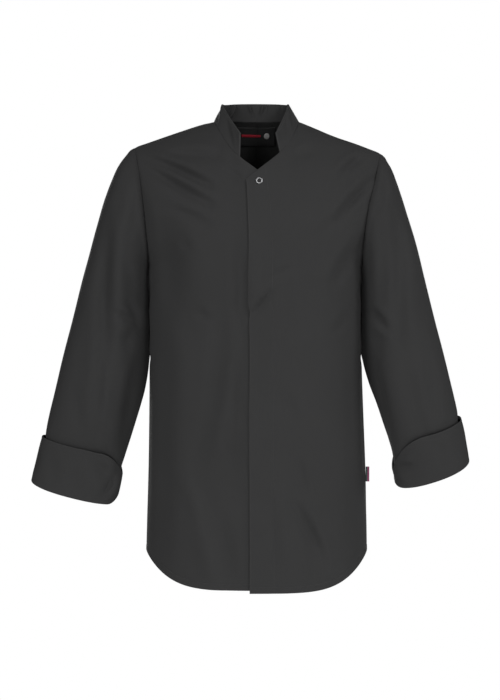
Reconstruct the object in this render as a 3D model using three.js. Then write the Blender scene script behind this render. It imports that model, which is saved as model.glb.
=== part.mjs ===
// A chef jacket, worn and filled out with nobody in it, in millimetres with +Z up. The front faces
// -Y and the wearer's left is +X. The origin is the middle of the neck opening, level with the
// collar seam where it crosses the shoulders. Each piece is the wall of cloth that a maker cuts
// and sews, made from a grid of points on the middle of its thickness.
import * as THREE from "three";

// Cloth
const CLOTH = 1.6;
const COLLAR_LAYER = 1.2;
const LABEL_THICKNESS = 1.0;
const SEAM_GAP = 0.3;
const LAP_GAP = 0.8;

// Body: levels are heights from the collar seam, and out is the distance from the middle
const UNDERARM = -243;
const SIDE_HEM = -700;
const HEM_CURVE = 4.7;
const BODY_ROUNDNESS = 0.82;
const NECK_HALF_WIDTH = 69;
const SHOULDER_MIDDLE = 0;
const BODY_SIZES = [
  { level: -757, right: 180, left: 181, front: 127, back: 121 },
  { level: -700, right: 179.6, left: 180, front: 126, back: 119 },
  { level: -587, right: 176.5, left: 178, front: 123, back: 114 },
  { level: -480, right: 175, left: 174, front: 121, back: 109 },
  { level: -390, right: 174.5, left: 171.5, front: 120, back: 107 },
  { level: -300, right: 176.5, left: 171.5, front: 123, back: 113 },
  { level: -243, right: 178, left: 172.5, front: 125, back: 117 },
  { level: -186, right: 178, left: 172.5, front: 123, back: 113 },
];

// The armhole seam from the underarm, rise 0, to the shoulder, rise 1. The angles say how far
// round the body from its middle the seam lies on the front and on the back.
const ARMHOLE = [
  { rise: 0, right: 178, left: 172.5, frontAngle: 90, backAngle: 90 },
  { rise: 0.1, right: 176, left: 171.5, frontAngle: 76, backAngle: 77 },
  { rise: 0.25, right: 178, left: 173.5, frontAngle: 66, backAngle: 68 },
  { rise: 0.5, right: 183, left: 181, frontAngle: 60, backAngle: 63 },
  { rise: 0.7, right: 188.5, left: 190.5, frontAngle: 60, backAngle: 62 },
  { rise: 0.85, right: 193.5, left: 196.5, frontAngle: 62, backAngle: 63 },
  { rise: 1, right: 199, left: 203, frontAngle: 66, backAngle: 66 },
];

// Height of the shoulder line. Inside the neck it only steers the slope of the chest and back.
const SHOULDER_LINE = [
  { out: 0, right: 22, left: 23 },
  { out: 40, right: 10, left: 11 },
  { out: 69, right: -0.5, left: -0.5 },
  { out: 90, right: -5.5, left: -9 },
  { out: 127, right: -17.5, left: -24.5 },
  { out: 165, right: -30.5, left: -37.5 },
  { out: 204, right: -44, left: -52.5 },
];
const CHEST_SLOPE = { power: 2.2, root: 1.8 };
const BACK_SLOPE = { power: 4.2, root: 2.1 };

// Neckline of each piece. The fronts cross the middle, where out is below zero.
const NECKLINES = {
  right: [
    { out: -30, level: -108 },
    { out: 1, level: -82.5 },
    { out: 27, level: -62 },
    { out: 46, level: -42 },
    { out: 69, level: -0.5 },
  ],
  left: [
    { out: -14, level: -98.8 },
    { out: -1, level: -82.5 },
    { out: 37.5, level: -56 },
    { out: 54, level: -36 },
    { out: 69, level: -0.5 },
  ],
  back: [
    { out: 0, level: 5 },
    { out: 45, level: 4 },
    { out: 69, level: -0.5 },
  ],
};
const FRONTS = {
  right: { side: -1, edge: [{ level: -757, out: -30 }, { level: -100, out: -30 }], hem: -757, lap: 0 },
  left: {
    side: 1,
    edge: [
      { level: -762, out: -10.7 },
      { level: -220, out: -12.2 },
      { level: -150, out: -14 },
      { level: -98, out: -15.5 },
    ],
    hem: -761.5,
    lap: CLOTH + LAP_GAP,
  },
};
const BACK_HEM = -759;
const LAP_FLAT_TO = 34;
const LAP_GONE_AT = 62;

// The largest folds of the body: each is a soft trough, or a ridge where depth is above zero, from
// one place to another in the view from the front, or through the body from the back.
const BODY_FOLDS = [
  { face: -1, fromX: -128, fromLevel: -200, toX: -142, toLevel: -320, reach: 32, depth: -5 },
  { face: -1, fromX: -150, fromLevel: -58, toX: -84, toLevel: -100, reach: 15, depth: -3 },
  { face: -1, fromX: -160, fromLevel: -92, toX: -92, toLevel: -142, reach: 16, depth: -3.2 },
  { face: -1, fromX: 186, fromLevel: -60, toX: 134, toLevel: -152, reach: 17, depth: -3.4 },
  { face: -1, fromX: 172, fromLevel: -180, toX: 128, toLevel: -262, reach: 18, depth: -3.2 },
  { face: -1, fromX: 70, fromLevel: -600, toX: 112, toLevel: -712, reach: 20, depth: -2.6 },
  { face: -1, fromX: -104, fromLevel: -560, toX: -78, toLevel: -730, reach: 22, depth: 2.4 },
  { face: 1, fromX: -60, fromLevel: -330, toX: -34, toLevel: -640, reach: 26, depth: -4 },
  { face: 1, fromX: 52, fromLevel: -300, toX: 84, toLevel: -600, reach: 26, depth: -4 },
  { face: 1, fromX: -150, fromLevel: -180, toX: -96, toLevel: -330, reach: 20, depth: -3.4 },
  { face: 1, fromX: 152, fromLevel: -170, toX: 100, toLevel: -310, reach: 20, depth: -3.2 },
];

// Sleeves: each row is a ring round the arm. outer and inner are the edges seen from the front, as
// distance from the middle and level; deep is half the size front to back, middle its place, and
// dip how much lower the front of the ring is than its sides. The first ring is the armhole.
const SLEEVES = {
  right: [
    { outer: 199, outerLevel: -42.5, inner: 178, innerLevel: -243, deep: 62, middle: 0, dip: 0 },
    { outer: 212, outerLevel: -54, inner: 182, innerLevel: -247, deep: 68, middle: 0, dip: 0 },
    { outer: 226, outerLevel: -73, inner: 183, innerLevel: -251, deep: 72, middle: 0, dip: 0 },
    { outer: 237, outerLevel: -98, inner: 183.5, innerLevel: -256, deep: 74, middle: 0, dip: 0 },
    { outer: 250, outerLevel: -134.5, inner: 183.5, innerLevel: -264, deep: 75, middle: 0, dip: 0 },
    { outer: 261.5, outerLevel: -174, inner: 183, innerLevel: -275, deep: 75, middle: 0, dip: 0 },
    { outer: 272.5, outerLevel: -216, inner: 182.5, innerLevel: -292, deep: 74, middle: -1, dip: 0 },
    { outer: 284, outerLevel: -258, inner: 182, innerLevel: -314, deep: 72, middle: -2, dip: 0 },
    { outer: 295, outerLevel: -302, inner: 180, innerLevel: -342, deep: 69, middle: -4, dip: 0 },
    { outer: 306, outerLevel: -346, inner: 179, innerLevel: -376, deep: 65, middle: -7, dip: 0 },
    { outer: 316, outerLevel: -388, inner: 182.5, innerLevel: -420, deep: 59, middle: -12, dip: 2 },
    { outer: 326, outerLevel: -432, inner: 191, innerLevel: -464, deep: 51, middle: -18, dip: 4 },
    { outer: 336, outerLevel: -474, inner: 202.5, innerLevel: -506, deep: 42, middle: -24, dip: 5 },
    { outer: 345, outerLevel: -514, inner: 214, innerLevel: -544, deep: 34, middle: -29, dip: 6 },
    { outer: 351.5, outerLevel: -539, inner: 220.5, innerLevel: -567, deep: 31, middle: -32, dip: 8 },
    { outer: 357.5, outerLevel: -563, inner: 226.5, innerLevel: -590, deep: 29, middle: -34, dip: 9 },
    { outer: 363, outerLevel: -587, inner: 232, innerLevel: -613, deep: 28, middle: -36, dip: 11 },
  ],
  left: [
    { outer: 203, outerLevel: -52, inner: 172.5, innerLevel: -243, deep: 62, middle: 0, dip: 0 },
    { outer: 212, outerLevel: -63, inner: 177, innerLevel: -247, deep: 67, middle: 0, dip: 0 },
    { outer: 221, outerLevel: -78, inner: 178.5, innerLevel: -251, deep: 71, middle: 0, dip: 0 },
    { outer: 229.5, outerLevel: -101, inner: 179, innerLevel: -256, deep: 73, middle: 0, dip: 0 },
    { outer: 240.5, outerLevel: -134.5, inner: 179, innerLevel: -264, deep: 74, middle: 0, dip: 0 },
    { outer: 252, outerLevel: -174, inner: 178.5, innerLevel: -275, deep: 74, middle: 0, dip: 0 },
    { outer: 263.5, outerLevel: -214, inner: 178, innerLevel: -292, deep: 73, middle: -1, dip: 0 },
    { outer: 274.5, outerLevel: -258, inner: 177.5, innerLevel: -314, deep: 71, middle: -2, dip: 0 },
    { outer: 285.5, outerLevel: -302, inner: 176.5, innerLevel: -342, deep: 68, middle: -4, dip: 0 },
    { outer: 296.5, outerLevel: -346, inner: 176, innerLevel: -376, deep: 65, middle: -8, dip: 0 },
    { outer: 306.5, outerLevel: -388, inner: 183, innerLevel: -414, deep: 60, middle: -14, dip: 3 },
    { outer: 315.5, outerLevel: -426, inner: 196, innerLevel: -456, deep: 54, middle: -21, dip: 6 },
    { outer: 323, outerLevel: -458, inner: 206.5, innerLevel: -491, deep: 48, middle: -27, dip: 9 },
    { outer: 329, outerLevel: -485, inner: 215, innerLevel: -518, deep: 44, middle: -32, dip: 12 },
    { outer: 334, outerLevel: -508, inner: 221.5, innerLevel: -539, deep: 41, middle: -36, dip: 15 },
    { outer: 338.5, outerLevel: -531, inner: 226.5, innerLevel: -560, deep: 39, middle: -39, dip: 17 },
    { outer: 342, outerLevel: -554, inner: 230.5, innerLevel: -580, deep: 38, middle: -42, dip: 20 },
  ],
};
const SLEEVE_ROUNDNESS = 0.9;
const SLEEVE_CLEARANCE = 1.9;
const FIT_TO_ARMHOLE = [1, 0.72, 0.45, 0.25, 0.12, 0.05];
const SLEEVE_FOLDS = [
  { side: "right", fromRing: 5, toRing: 8.6, angle: 70, reach: 20, depth: -3.5 },
  { side: "right", fromRing: 8, toRing: 9.4, angle: 120, reach: 18, depth: -4 },
  { side: "right", fromRing: 7.6, toRing: 9.8, angle: 250, reach: 22, depth: -4 },
  { side: "left", fromRing: 5, toRing: 8.4, angle: 62, reach: 20, depth: -3 },
  { side: "left", fromRing: 8.2, toRing: 9.6, angle: 128, reach: 18, depth: -4.5 },
  { side: "left", fromRing: 7.8, toRing: 9.8, angle: 245, reach: 22, depth: -4 },
];

// Turned-back cuffs: the last rings of a sleeve carry them, from the fold up to the free edge. They
// are slit on the side that faces the body. The corners beside the slit are round: the free edge
// drops from corner on and the fold rises from heel on, as places across the sleeve from 0 in its
// middle to 1 on the slit, by parts of the cuff's height. The cuff is sewn to the sleeve's end
// inside, lip rings above the fold.
const CUFF_RINGS = 3;
const CUFFS = {
  right: { corner: 0.5, cornerDrop: 0.4, heel: 0.78, heelRise: 0.38, lip: 1.5 },
  left: { corner: 0.1, cornerDrop: 0.78, heel: 0.8, heelRise: 0.14, lip: 0.75 },
};
const CUFF_LIFT = 2.8;
const CUFF_SEAM_GAP = 0.5;
const CUFF_SLIT = 5;

// Collar: a stand of two layers. The rows go round the neck from the wearer's right end to the
// left one; lean is how far its top edge stands in from the seam, across and front to back.
const COLLAR_FOOT = { front: 2.1, back: 1.6 };
const COLLAR = [
  { x: -27, face: -1, topX: -26.5, topY: -84, topLevel: -25 },
  { x: -38, face: -1, topX: -35, topY: -66, topLevel: -11 },
  { x: -50, face: -1, topX: -43, topY: -42, topLevel: 3 },
  { x: -63, face: -1, topX: -50.5, topY: -18, topLevel: 17.5 },
  { x: -69, face: 0, topX: -56, topY: 4, topLevel: 29 },
  { x: -61, face: 1, topX: -52, topY: 27, topLevel: 30.5 },
  { x: -40, face: 1, topX: -37, topY: 48, topLevel: 32.5 },
  { x: -14, face: 1, topX: -13, topY: 58, topLevel: 34 },
  { x: 14, face: 1, topX: 13, topY: 58, topLevel: 34 },
  { x: 40, face: 1, topX: 37, topY: 48, topLevel: 32.5 },
  { x: 61, face: 1, topX: 49, topY: 27, topLevel: 30.5 },
  { x: 69, face: 0, topX: 51.5, topY: 4, topLevel: 29 },
  { x: 65, face: -1, topX: 48.5, topY: -18, topLevel: 17.5 },
  { x: 57, face: -1, topX: 43, topY: -42, topLevel: 3 },
  { x: 47, face: -1, topX: 37, topY: -66, topLevel: -11 },
  { x: 37.5, face: -1, topX: 31, topY: -84, topLevel: -25 },
];
const COLLAR_STEPS = 3;

// Small pieces
const SNAP = { x: 3.7, level: -104, outer: 5.3, hole: 3.1, height: 1.9, roundOff: 0.4, sides: 32 };
const NECK_LABEL = { columnsEachSide: 2, rowsBelowSeam: 3 };
const SIDE_TAB = { top: -565, bottom: -586, proud: 6, thickness: 2.2, root: 0.6 };

// Grid steps
const LOW_ROWS = 15;
const HIGH_ROWS = 12;
const NECK_COLUMNS = 5;
const SIDE_COLUMNS = 8;
const CUFF_LEG_STEPS = 4;
const CUFF_BEND_STEPS = 4;
const SEARCH_STEPS = 40;

const DEGREE = Math.PI / 180;
const vector = (x, y, z) => new THREE.Vector3(x, y, z);
const lerp = THREE.MathUtils.lerp;
const signedPower = (value, power) => Math.sign(value) * Math.abs(value) ** power;

// The value of one column of a table at a place, on a smooth curve through its rows.
function read(table, key, at, column) {
  const last = table.length - 1;
  const place = THREE.MathUtils.clamp(at, table[0][key], table[last][key]);
  let row = 0;
  while (row < last - 1 && table[row + 1][key] <= place) row += 1;
  const slope = (index) => {
    const before = table[Math.max(index - 1, 0)];
    const after = table[Math.min(index + 1, last)];
    return (after[column] - before[column]) / (after[key] - before[key]);
  };
  const [start, end] = [table[row], table[row + 1]];
  const span = end[key] - start[key];
  const t = (place - start[key]) / span;
  const pull = slope(row) * span * t * (1 - t) ** 2 - slope(row + 1) * span * t ** 2 * (1 - t);
  return lerp(start[column], end[column], t * t * (3 - 2 * t)) + pull;
}

const sideName = (side) => (side < 0 ? "right" : "left");

// Part of a fold's depth that is left near the shoulder seam, which lies flat.
const nearShoulder = (rise) => 1 - THREE.MathUtils.smoothstep(rise, 0.82, 0.98);

// How far a fold moves the cloth out at a place in the view from the front.
function bodyFold(face, x, level) {
  let sum = 0;
  for (const fold of BODY_FOLDS) {
    if (fold.face !== face) continue;
    const run = new THREE.Vector2(fold.toX - fold.fromX, fold.toLevel - fold.fromLevel);
    const from = new THREE.Vector2(x - fold.fromX, level - fold.fromLevel);
    const part = THREE.MathUtils.clamp(from.dot(run) / run.lengthSq(), 0, 1);
    const away = from.addScaledVector(run, -part).length() / fold.reach;
    sum += fold.depth * Math.exp(-away * away) * Math.sin(Math.PI * lerp(0.12, 0.88, part));
  }
  return sum;
}

// Size of the ring round the body at a rise: above the underarm, 0 to 1, it closes to the shoulder
// line; below it, 0 to -1, it goes down to the hem, which curves up to the side seam.
function bodyRing(face, side, rise) {
  const name = sideName(side);
  if (rise <= 0) return { angle: 90, halfWidth: null, name };
  const angle = read(ARMHOLE, "rise", rise, face < 0 ? "frontAngle" : "backAngle");
  const edge = read(ARMHOLE, "rise", rise, name);
  return { angle, halfWidth: edge / Math.sin(angle * DEGREE) ** BODY_ROUNDNESS, name };
}

// A point on the middle of the body's cloth, turn degrees round from the middle of one face.
function bodyPoint(face, side, turn, rise, hem) {
  const ring = bodyRing(face, side, rise);
  const across = signedPower(Math.sin(turn * DEGREE), BODY_ROUNDNESS);
  const ahead = Math.max(Math.cos(turn * DEGREE), 0) ** BODY_ROUNDNESS;
  const depthName = face < 0 ? "front" : "back";
  let level;
  let x;
  let depth;
  if (rise <= 0) {
    const hemLevel = lerp(hem, SIDE_HEM, Math.abs(across) ** HEM_CURVE);
    level = lerp(UNDERARM, hemLevel, -rise);
    x = side * across * read(BODY_SIZES, "level", level, ring.name);
    depth = read(BODY_SIZES, "level", level, depthName);
  } else {
    const out = across * ring.halfWidth;
    const slope = face < 0 ? CHEST_SLOPE : BACK_SLOPE;
    level = lerp(UNDERARM, read(SHOULDER_LINE, "out", Math.abs(out), ring.name), rise);
    x = side * out;
    depth = read(BODY_SIZES, "level", UNDERARM, depthName);
    depth *= (1 - Math.min(rise, 1) ** slope.power) ** (1 / slope.root);
  }
  const fold = bodyFold(face, x, level) * ahead * nearShoulder(rise);
  const y = SHOULDER_MIDDLE + face * (depth * ahead + SEAM_GAP / 2 + fold);
  return vector(x, y, level);
}

// The turn at which the body's cloth is a given distance out from the middle.
function turnAt(face, side, out, rise) {
  const ring = bodyRing(face, side, rise);
  const halfWidth = ring.halfWidth ?? read(BODY_SIZES, "level", UNDERARM, ring.name);
  return Math.asin(signedPower(out / halfWidth, 1 / BODY_ROUNDNESS)) / DEGREE;
}

// The highest rise of a column of the body: the shoulder line, or the neckline before it.
function topRise(columnPoint, side, neckline) {
  let low = 0;
  let high = 1;
  for (let step = 0; step < SEARCH_STEPS; step += 1) {
    const middle = (low + high) / 2;
    const point = columnPoint(middle);
    const neckLevel = read(neckline, "out", point.x * side, "level");
    if (point.z > neckLevel) high = middle;
    else low = middle;
  }
  return (low + high) / 2;
}

// Rises of the rows of a body piece, from the hem up; the upper ones close in at both ends.
function rowRises() {
  const low = Array.from({ length: LOW_ROWS }, (_, row) => row / LOW_ROWS - 1);
  const high = Array.from({ length: HIGH_ROWS + 1 }, (_, row) => {
    return (1 - Math.cos((Math.PI * row) / HIGH_ROWS)) / 2;
  });
  return [...low, ...high];
}

// Parts of the way from a piece's inner edge to its side at which its columns lie, with one column
// on the corner where neckline and shoulder line meet.
function columnParts(cornerPart) {
  const neck = Array.from({ length: NECK_COLUMNS }, (_, i) => (cornerPart * i) / NECK_COLUMNS);
  const sides = Array.from({ length: SIDE_COLUMNS + 1 }, (_, i) => {
    return lerp(cornerPart, 1, i / SIDE_COLUMNS);
  });
  return [...neck, ...sides];
}

// One half of a body piece as rows of points, from its inner edge to the side.
function bodyGrid({ face, side, innerOut, hem, neckline }) {
  const pointAt = (part, rise) => {
    const inner = turnAt(face, side, innerOut(rise), rise);
    const outer = bodyRing(face, side, rise).angle;
    return bodyPoint(face, side, lerp(inner, outer, part), rise, hem);
  };
  const shoulderAngle = bodyRing(face, side, 1).angle;
  const innerTurn = turnAt(face, side, innerOut(1), 1);
  const cornerTurn = turnAt(face, side, NECK_HALF_WIDTH, 1);
  const cornerPart = (cornerTurn - innerTurn) / (shoulderAngle - innerTurn);
  const parts = columnParts(cornerPart);
  const tops = parts.map((part, index) => {
    return index >= NECK_COLUMNS ? 1 : topRise((rise) => pointAt(part, rise), side, neckline);
  });
  return rowRises().map((rise) => parts.map((part, index) => {
    return pointAt(part, rise > 0 ? rise * tops[index] : rise);
  }));
}

// Normals of a grid of points, from their neighbours; closed says that its columns go round.
function gridNormals(grid, closed) {
  const width = grid[0].length;
  return grid.map((row, r) => row.map((point, c) => {
    const up = grid[Math.min(r + 1, grid.length - 1)][c];
    const down = grid[Math.max(r - 1, 0)][c];
    const next = closed ? row[(c + 1) % width] : row[Math.min(c + 1, width - 1)];
    const previous = closed ? row[(c + width - 1) % width] : row[Math.max(c - 1, 0)];
    const along = next.clone().sub(previous);
    return along.cross(up.clone().sub(down)).normalize();
  }));
}

// The grid moved along its normals, out from a middle line when the amount is above zero.
function movedOut(grid, amount, closed, middle = vector(0, 0, 0)) {
  const normals = gridNormals(grid, closed);
  return grid.map((row, r) => row.map((point, c) => {
    const outward = point.clone().sub(middle).setZ(0);
    const sign = Math.sign(normals[r][c].dot(outward)) || 1;
    const distance = typeof amount === "function" ? amount(point) : amount;
    return point.clone().addScaledVector(normals[r][c], sign * distance);
  }));
}

// Signed volume of an indexed surface, which tells whether its faces point out.
function signedVolume(positions, index) {
  const corner = (i) => vector(...positions.slice(index[i] * 3, index[i] * 3 + 3));
  let sum = 0;
  for (let i = 0; i < index.length; i += 3) {
    sum += corner(i).dot(corner(i + 1).cross(corner(i + 2))) / 6;
  }
  return sum;
}

// A wall of cloth: the grid given thickness to both sides, with its rim closed.
function clothWall(grid, thickness, { closed = false, flatEdges = [] } = {}) {
  const normals = gridNormals(grid, closed);
  for (const edge of flatEdges) {
    for (const [r, c] of edge) normals[r][c].setY(0).normalize();
  }
  const rows = grid.length;
  const columns = grid[0].length;
  const positions = [];
  for (const half of [0.5, -0.5]) {
    grid.forEach((row, r) => row.forEach((point, c) => {
      positions.push(...point.clone().addScaledVector(normals[r][c], half * thickness).toArray());
    }));
  }
  const at = (face, r, c) => face * rows * columns + r * columns + (c % columns);
  const index = [];
  const quad = (a, b, c, d) => index.push(a, b, c, a, c, d);
  const steps = closed ? columns : columns - 1;
  for (let r = 0; r < rows - 1; r += 1) {
    for (let c = 0; c < steps; c += 1) {
      quad(at(0, r, c), at(0, r, c + 1), at(0, r + 1, c + 1), at(0, r + 1, c));
      quad(at(1, r, c), at(1, r + 1, c), at(1, r + 1, c + 1), at(1, r, c + 1));
    }
  }
  for (let c = 0; c < steps; c += 1) {
    quad(at(0, 0, c), at(1, 0, c), at(1, 0, c + 1), at(0, 0, c + 1));
    quad(at(0, rows - 1, c), at(0, rows - 1, c + 1), at(1, rows - 1, c + 1), at(1, rows - 1, c));
  }
  if (!closed) {
    const last = columns - 1;
    for (let r = 0; r < rows - 1; r += 1) {
      quad(at(0, r, 0), at(0, r + 1, 0), at(1, r + 1, 0), at(1, r, 0));
      quad(at(0, r, last), at(1, r, last), at(1, r + 1, last), at(0, r + 1, last));
    }
  }
  if (signedVolume(positions, index) < 0) index.reverse();
  const geometry = new THREE.BufferGeometry();
  geometry.setAttribute("position", new THREE.Float32BufferAttribute(positions, 3));
  geometry.setIndex(index);
  geometry.computeVertexNormals();
  return geometry;
}

const clothMaterial = new THREE.MeshStandardMaterial({ color: 0x3b3b3d, roughness: 0.9, metalness: 0 });
const labelMaterial = new THREE.MeshStandardMaterial({ color: 0x151517, roughness: 0.8, metalness: 0 });
const tabMaterial = new THREE.MeshStandardMaterial({ color: 0x5a2c3c, roughness: 0.8, metalness: 0 });
const metalMaterial = new THREE.MeshStandardMaterial({ color: 0xb9bbbd, roughness: 0.3, metalness: 1 });

function piece(name, geometry, material) {
  const mesh = new THREE.Mesh(geometry, material);
  mesh.name = name;
  return mesh;
}

// Vertices of a grid on its side seam and on its shoulder seam, whose faces lie straight across.
function seamVertices(grid, sideColumns) {
  const side = grid.slice(0, LOW_ROWS + 1).flatMap((row, r) => sideColumns.map((c) => [r, c]));
  const top = grid.length - 1;
  const isShoulder = (point) => Math.abs(point.y - SHOULDER_MIDDLE) < 1;
  const shoulder = grid[top].map((point, c) => [top, c]).filter(([r, c]) => isShoulder(grid[r][c]));
  return [side, shoulder];
}

function frontGrid(name) {
  const { side, edge, hem, lap } = FRONTS[name];
  const riseLevel = (rise) => {
    return lerp(UNDERARM, rise <= 0 ? hem : SHOULDER_LINE[0][name], Math.abs(rise));
  };
  const grid = bodyGrid({
    face: -1,
    side,
    innerOut: (rise) => read(edge, "level", riseLevel(rise), "out"),
    hem,
    neckline: NECKLINES[name],
  });
  if (lap === 0) return grid;
  return movedOut(grid, (point) => {
    const away = THREE.MathUtils.smoothstep(point.x * side, LAP_FLAT_TO, LAP_GONE_AT);
    return lap * (1 - away);
  }, false);
}

function makeFront(name) {
  const grid = frontGrid(name);
  const flatEdges = seamVertices(grid, [grid[0].length - 1]);
  return piece(`front_${name}`, clothWall(grid, CLOTH, { flatEdges }), clothMaterial);
}

function backGrid() {
  const halves = [-1, 1].map((side) => bodyGrid({
    face: 1,
    side,
    innerOut: () => 0,
    hem: BACK_HEM,
    neckline: NECKLINES.back,
  }));
  return halves[0].map((row, r) => [...row.slice(1).reverse(), ...halves[1][r]]);
}

function makeBack() {
  const grid = backGrid();
  const flatEdges = seamVertices(grid, [0, grid[0].length - 1]);
  return piece("back", clothWall(grid, CLOTH, { flatEdges }), clothMaterial);
}

// The armhole seam as a loop from the shoulder down the front, and up the back.
function armhole(side) {
  const rises = rowRises().slice(LOW_ROWS);
  const on = (face) => rises.map((rise) => {
    return bodyPoint(face, side, bodyRing(face, side, rise).angle, rise, SIDE_HEM);
  });
  const front = on(-1).reverse();
  const back = on(1).slice(1, -1);
  front[0].y = SHOULDER_MIDDLE;
  front[HIGH_ROWS].y = SHOULDER_MIDDLE;
  return [...front, ...back].map((point) => point.setX(point.x + side * SLEEVE_CLEARANCE));
}

// A point of the plain ring that a sleeve's table gives, angle degrees round from its outer edge
// by way of the front.
function sleeveRingPoint(name, side, ring, angle) {
  const rows = SLEEVES[name].map((row, index) => ({ ...row, ring: index }));
  const value = (column) => read(rows, "ring", ring, column);
  const across = signedPower(Math.cos(angle * DEGREE), SLEEVE_ROUNDNESS);
  const ahead = signedPower(Math.sin(angle * DEGREE), SLEEVE_ROUNDNESS);
  const clearance = SLEEVE_CLEARANCE * Math.max(1 - ring, 0);
  const outer = [value("outer") + clearance, value("outerLevel")];
  const inner = [value("inner") + clearance, value("innerLevel")];
  const out = lerp(inner[0], outer[0], (1 + across) / 2);
  const level = lerp(inner[1], outer[1], (1 + across) / 2) - value("dip") * ahead;
  return vector(side * out, value("middle") - value("deep") * ahead, level);
}

function sleeveFold(name, ring, angle, girth) {
  let sum = 0;
  for (const fold of SLEEVE_FOLDS) {
    if (fold.side !== name) continue;
    const part = (ring - fold.fromRing) / (fold.toRing - fold.fromRing);
    if (part <= 0 || part >= 1) continue;
    const away = ((angle - fold.angle) * DEGREE * girth) / fold.reach;
    sum += fold.depth * Math.exp(-away * away) * Math.sin(Math.PI * part);
  }
  return sum;
}

function makeSleevePoint(side) {
  const name = sideName(side);
  const loop = armhole(side);
  const step = 360 / loop.length;
  const misfit = loop.map((point, i) => point.clone().sub(sleeveRingPoint(name, side, 0, i * step)));
  const fits = FIT_TO_ARMHOLE.map((fit, ring) => ({ ring, fit }));
  return (ring, angle) => {
    const point = sleeveRingPoint(name, side, ring, angle);
    const middle = sleeveRingPoint(name, side, ring, 0).lerp(sleeveRingPoint(name, side, ring, 180), 0.5);
    const outward = point.clone().sub(middle);
    const girth = outward.length();
    point.addScaledVector(outward.normalize(), sleeveFold(name, ring, angle, girth));
    if (ring < fits.length) {
      const fit = ring <= fits.length - 1 ? read(fits, "ring", ring, "fit") : 0;
      const place = (((angle % 360) + 360) % 360) / step;
      const [low, part] = [Math.floor(place), place % 1];
      const gap = misfit[low % loop.length].clone().lerp(misfit[(low + 1) % loop.length], part);
      point.addScaledVector(gap, fit);
    }
    return point;
  };
}

// A round corner: 0 up to its start, and 1 on the slit, along a quarter ellipse.
function cornerShape(angle, start) {
  const across = -signedPower(Math.cos(angle * DEGREE), SLEEVE_ROUNDNESS);
  const part = THREE.MathUtils.clamp((across - start) / (1 - start), 0, 1);
  return 1 - Math.sqrt(1 - part * part);
}

const lastRing = SLEEVES.right.length - 1;
const foldRing = (name, angle) => {
  return lastRing - CUFF_RINGS * CUFFS[name].heelRise * cornerShape(angle, CUFFS[name].heel);
};
const freeEdgeRing = (name, angle) => {
  return lastRing - CUFF_RINGS * (1 - CUFFS[name].cornerDrop * cornerShape(angle, CUFFS[name].corner));
};

function makeSleeve(side) {
  const name = sideName(side);
  const sleevePoint = makeSleevePoint(side);
  const columns = 2 * HIGH_ROWS;
  const whole = Array.from({ length: lastRing - 1 }, (_, ring) => ring);
  const grid = [...whole, lastRing - CUFFS[name].lip].map((ring) => {
    return Array.from({ length: columns }, (_, c) => sleevePoint(ring, (360 * c) / columns));
  });
  return piece(`sleeve_${name}`, clothWall(grid, CLOTH, { closed: true }), clothMaterial);
}

// Section of a turned-back cuff at one angle: up from the sleeve's end seam, round the fold and
// back up the outside, as places along the sleeve and distances out from its cloth.
function cuffSection(name, angle, ringLength) {
  const fold = foldRing(name, angle);
  const free = freeEdgeRing(name, angle);
  const radius = CUFF_LIFT / 2;
  const lip = lastRing - CUFFS[name].lip + CUFF_SEAM_GAP / ringLength;
  const turn = fold - radius / ringLength;
  const section = [{ ring: lip, out: 0 }, { ring: lerp(lip, turn, 0.6), out: 0 }];
  for (let step = 0; step <= CUFF_BEND_STEPS; step += 1) {
    const bend = (Math.PI * step) / CUFF_BEND_STEPS;
    section.push({
      ring: turn + (radius / ringLength) * Math.sin(bend),
      out: radius * (1 - Math.cos(bend)),
    });
  }
  for (let step = 1; step <= CUFF_LEG_STEPS; step += 1) {
    section.push({ ring: lerp(turn, free, step / CUFF_LEG_STEPS), out: CUFF_LIFT });
  }
  return section;
}

function makeCuff(side) {
  const name = sideName(side);
  const sleevePoint = makeSleevePoint(side);
  const { outerLevel: top } = SLEEVES[name][lastRing - CUFF_RINGS];
  const ringLength = (top - SLEEVES[name][lastRing].outerLevel) / CUFF_RINGS;
  const step = 180 / HIGH_ROWS;
  const between = Array.from({ length: 2 * HIGH_ROWS - 1 }, (_, c) => 180 + step * (c + 1));
  const columns = [180 + CUFF_SLIT, ...between, 540 - CUFF_SLIT];
  const sections = columns.map((angle) => cuffSection(name, angle, ringLength));
  const grid = sections[0].map((_, row) => columns.map((angle, c) => {
    const { ring, out } = sections[c][row];
    const point = sleevePoint(ring, angle);
    const nearby = 0.5;
    const round = sleevePoint(ring, angle + nearby).sub(sleevePoint(ring, angle - nearby));
    const down = sleevePoint(ring + nearby, angle).sub(sleevePoint(ring - nearby, angle));
    const normal = round.cross(down).normalize().multiplyScalar(side);
    return point.addScaledVector(normal, out);
  }));
  return piece(`cuff_${name}`, clothWall(grid, CLOTH), clothMaterial);
}

// The neck seam at a place round the neck, on the cloth of the fronts and the back.
function neckSeam(x, face) {
  const side = Math.sign(x);
  const out = Math.abs(x);
  const name = sideName(side);
  if (face === 0) return vector(x, SHOULDER_MIDDLE, read(SHOULDER_LINE, "out", out, name));
  const level = read(face < 0 ? NECKLINES[name] : NECKLINES.back, "out", out, "level");
  const ridge = read(SHOULDER_LINE, "out", out, name);
  const rise = (level - UNDERARM) / (ridge - UNDERARM);
  return bodyPoint(face, side, turnAt(face, side, out, rise), rise, SIDE_HEM);
}

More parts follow.
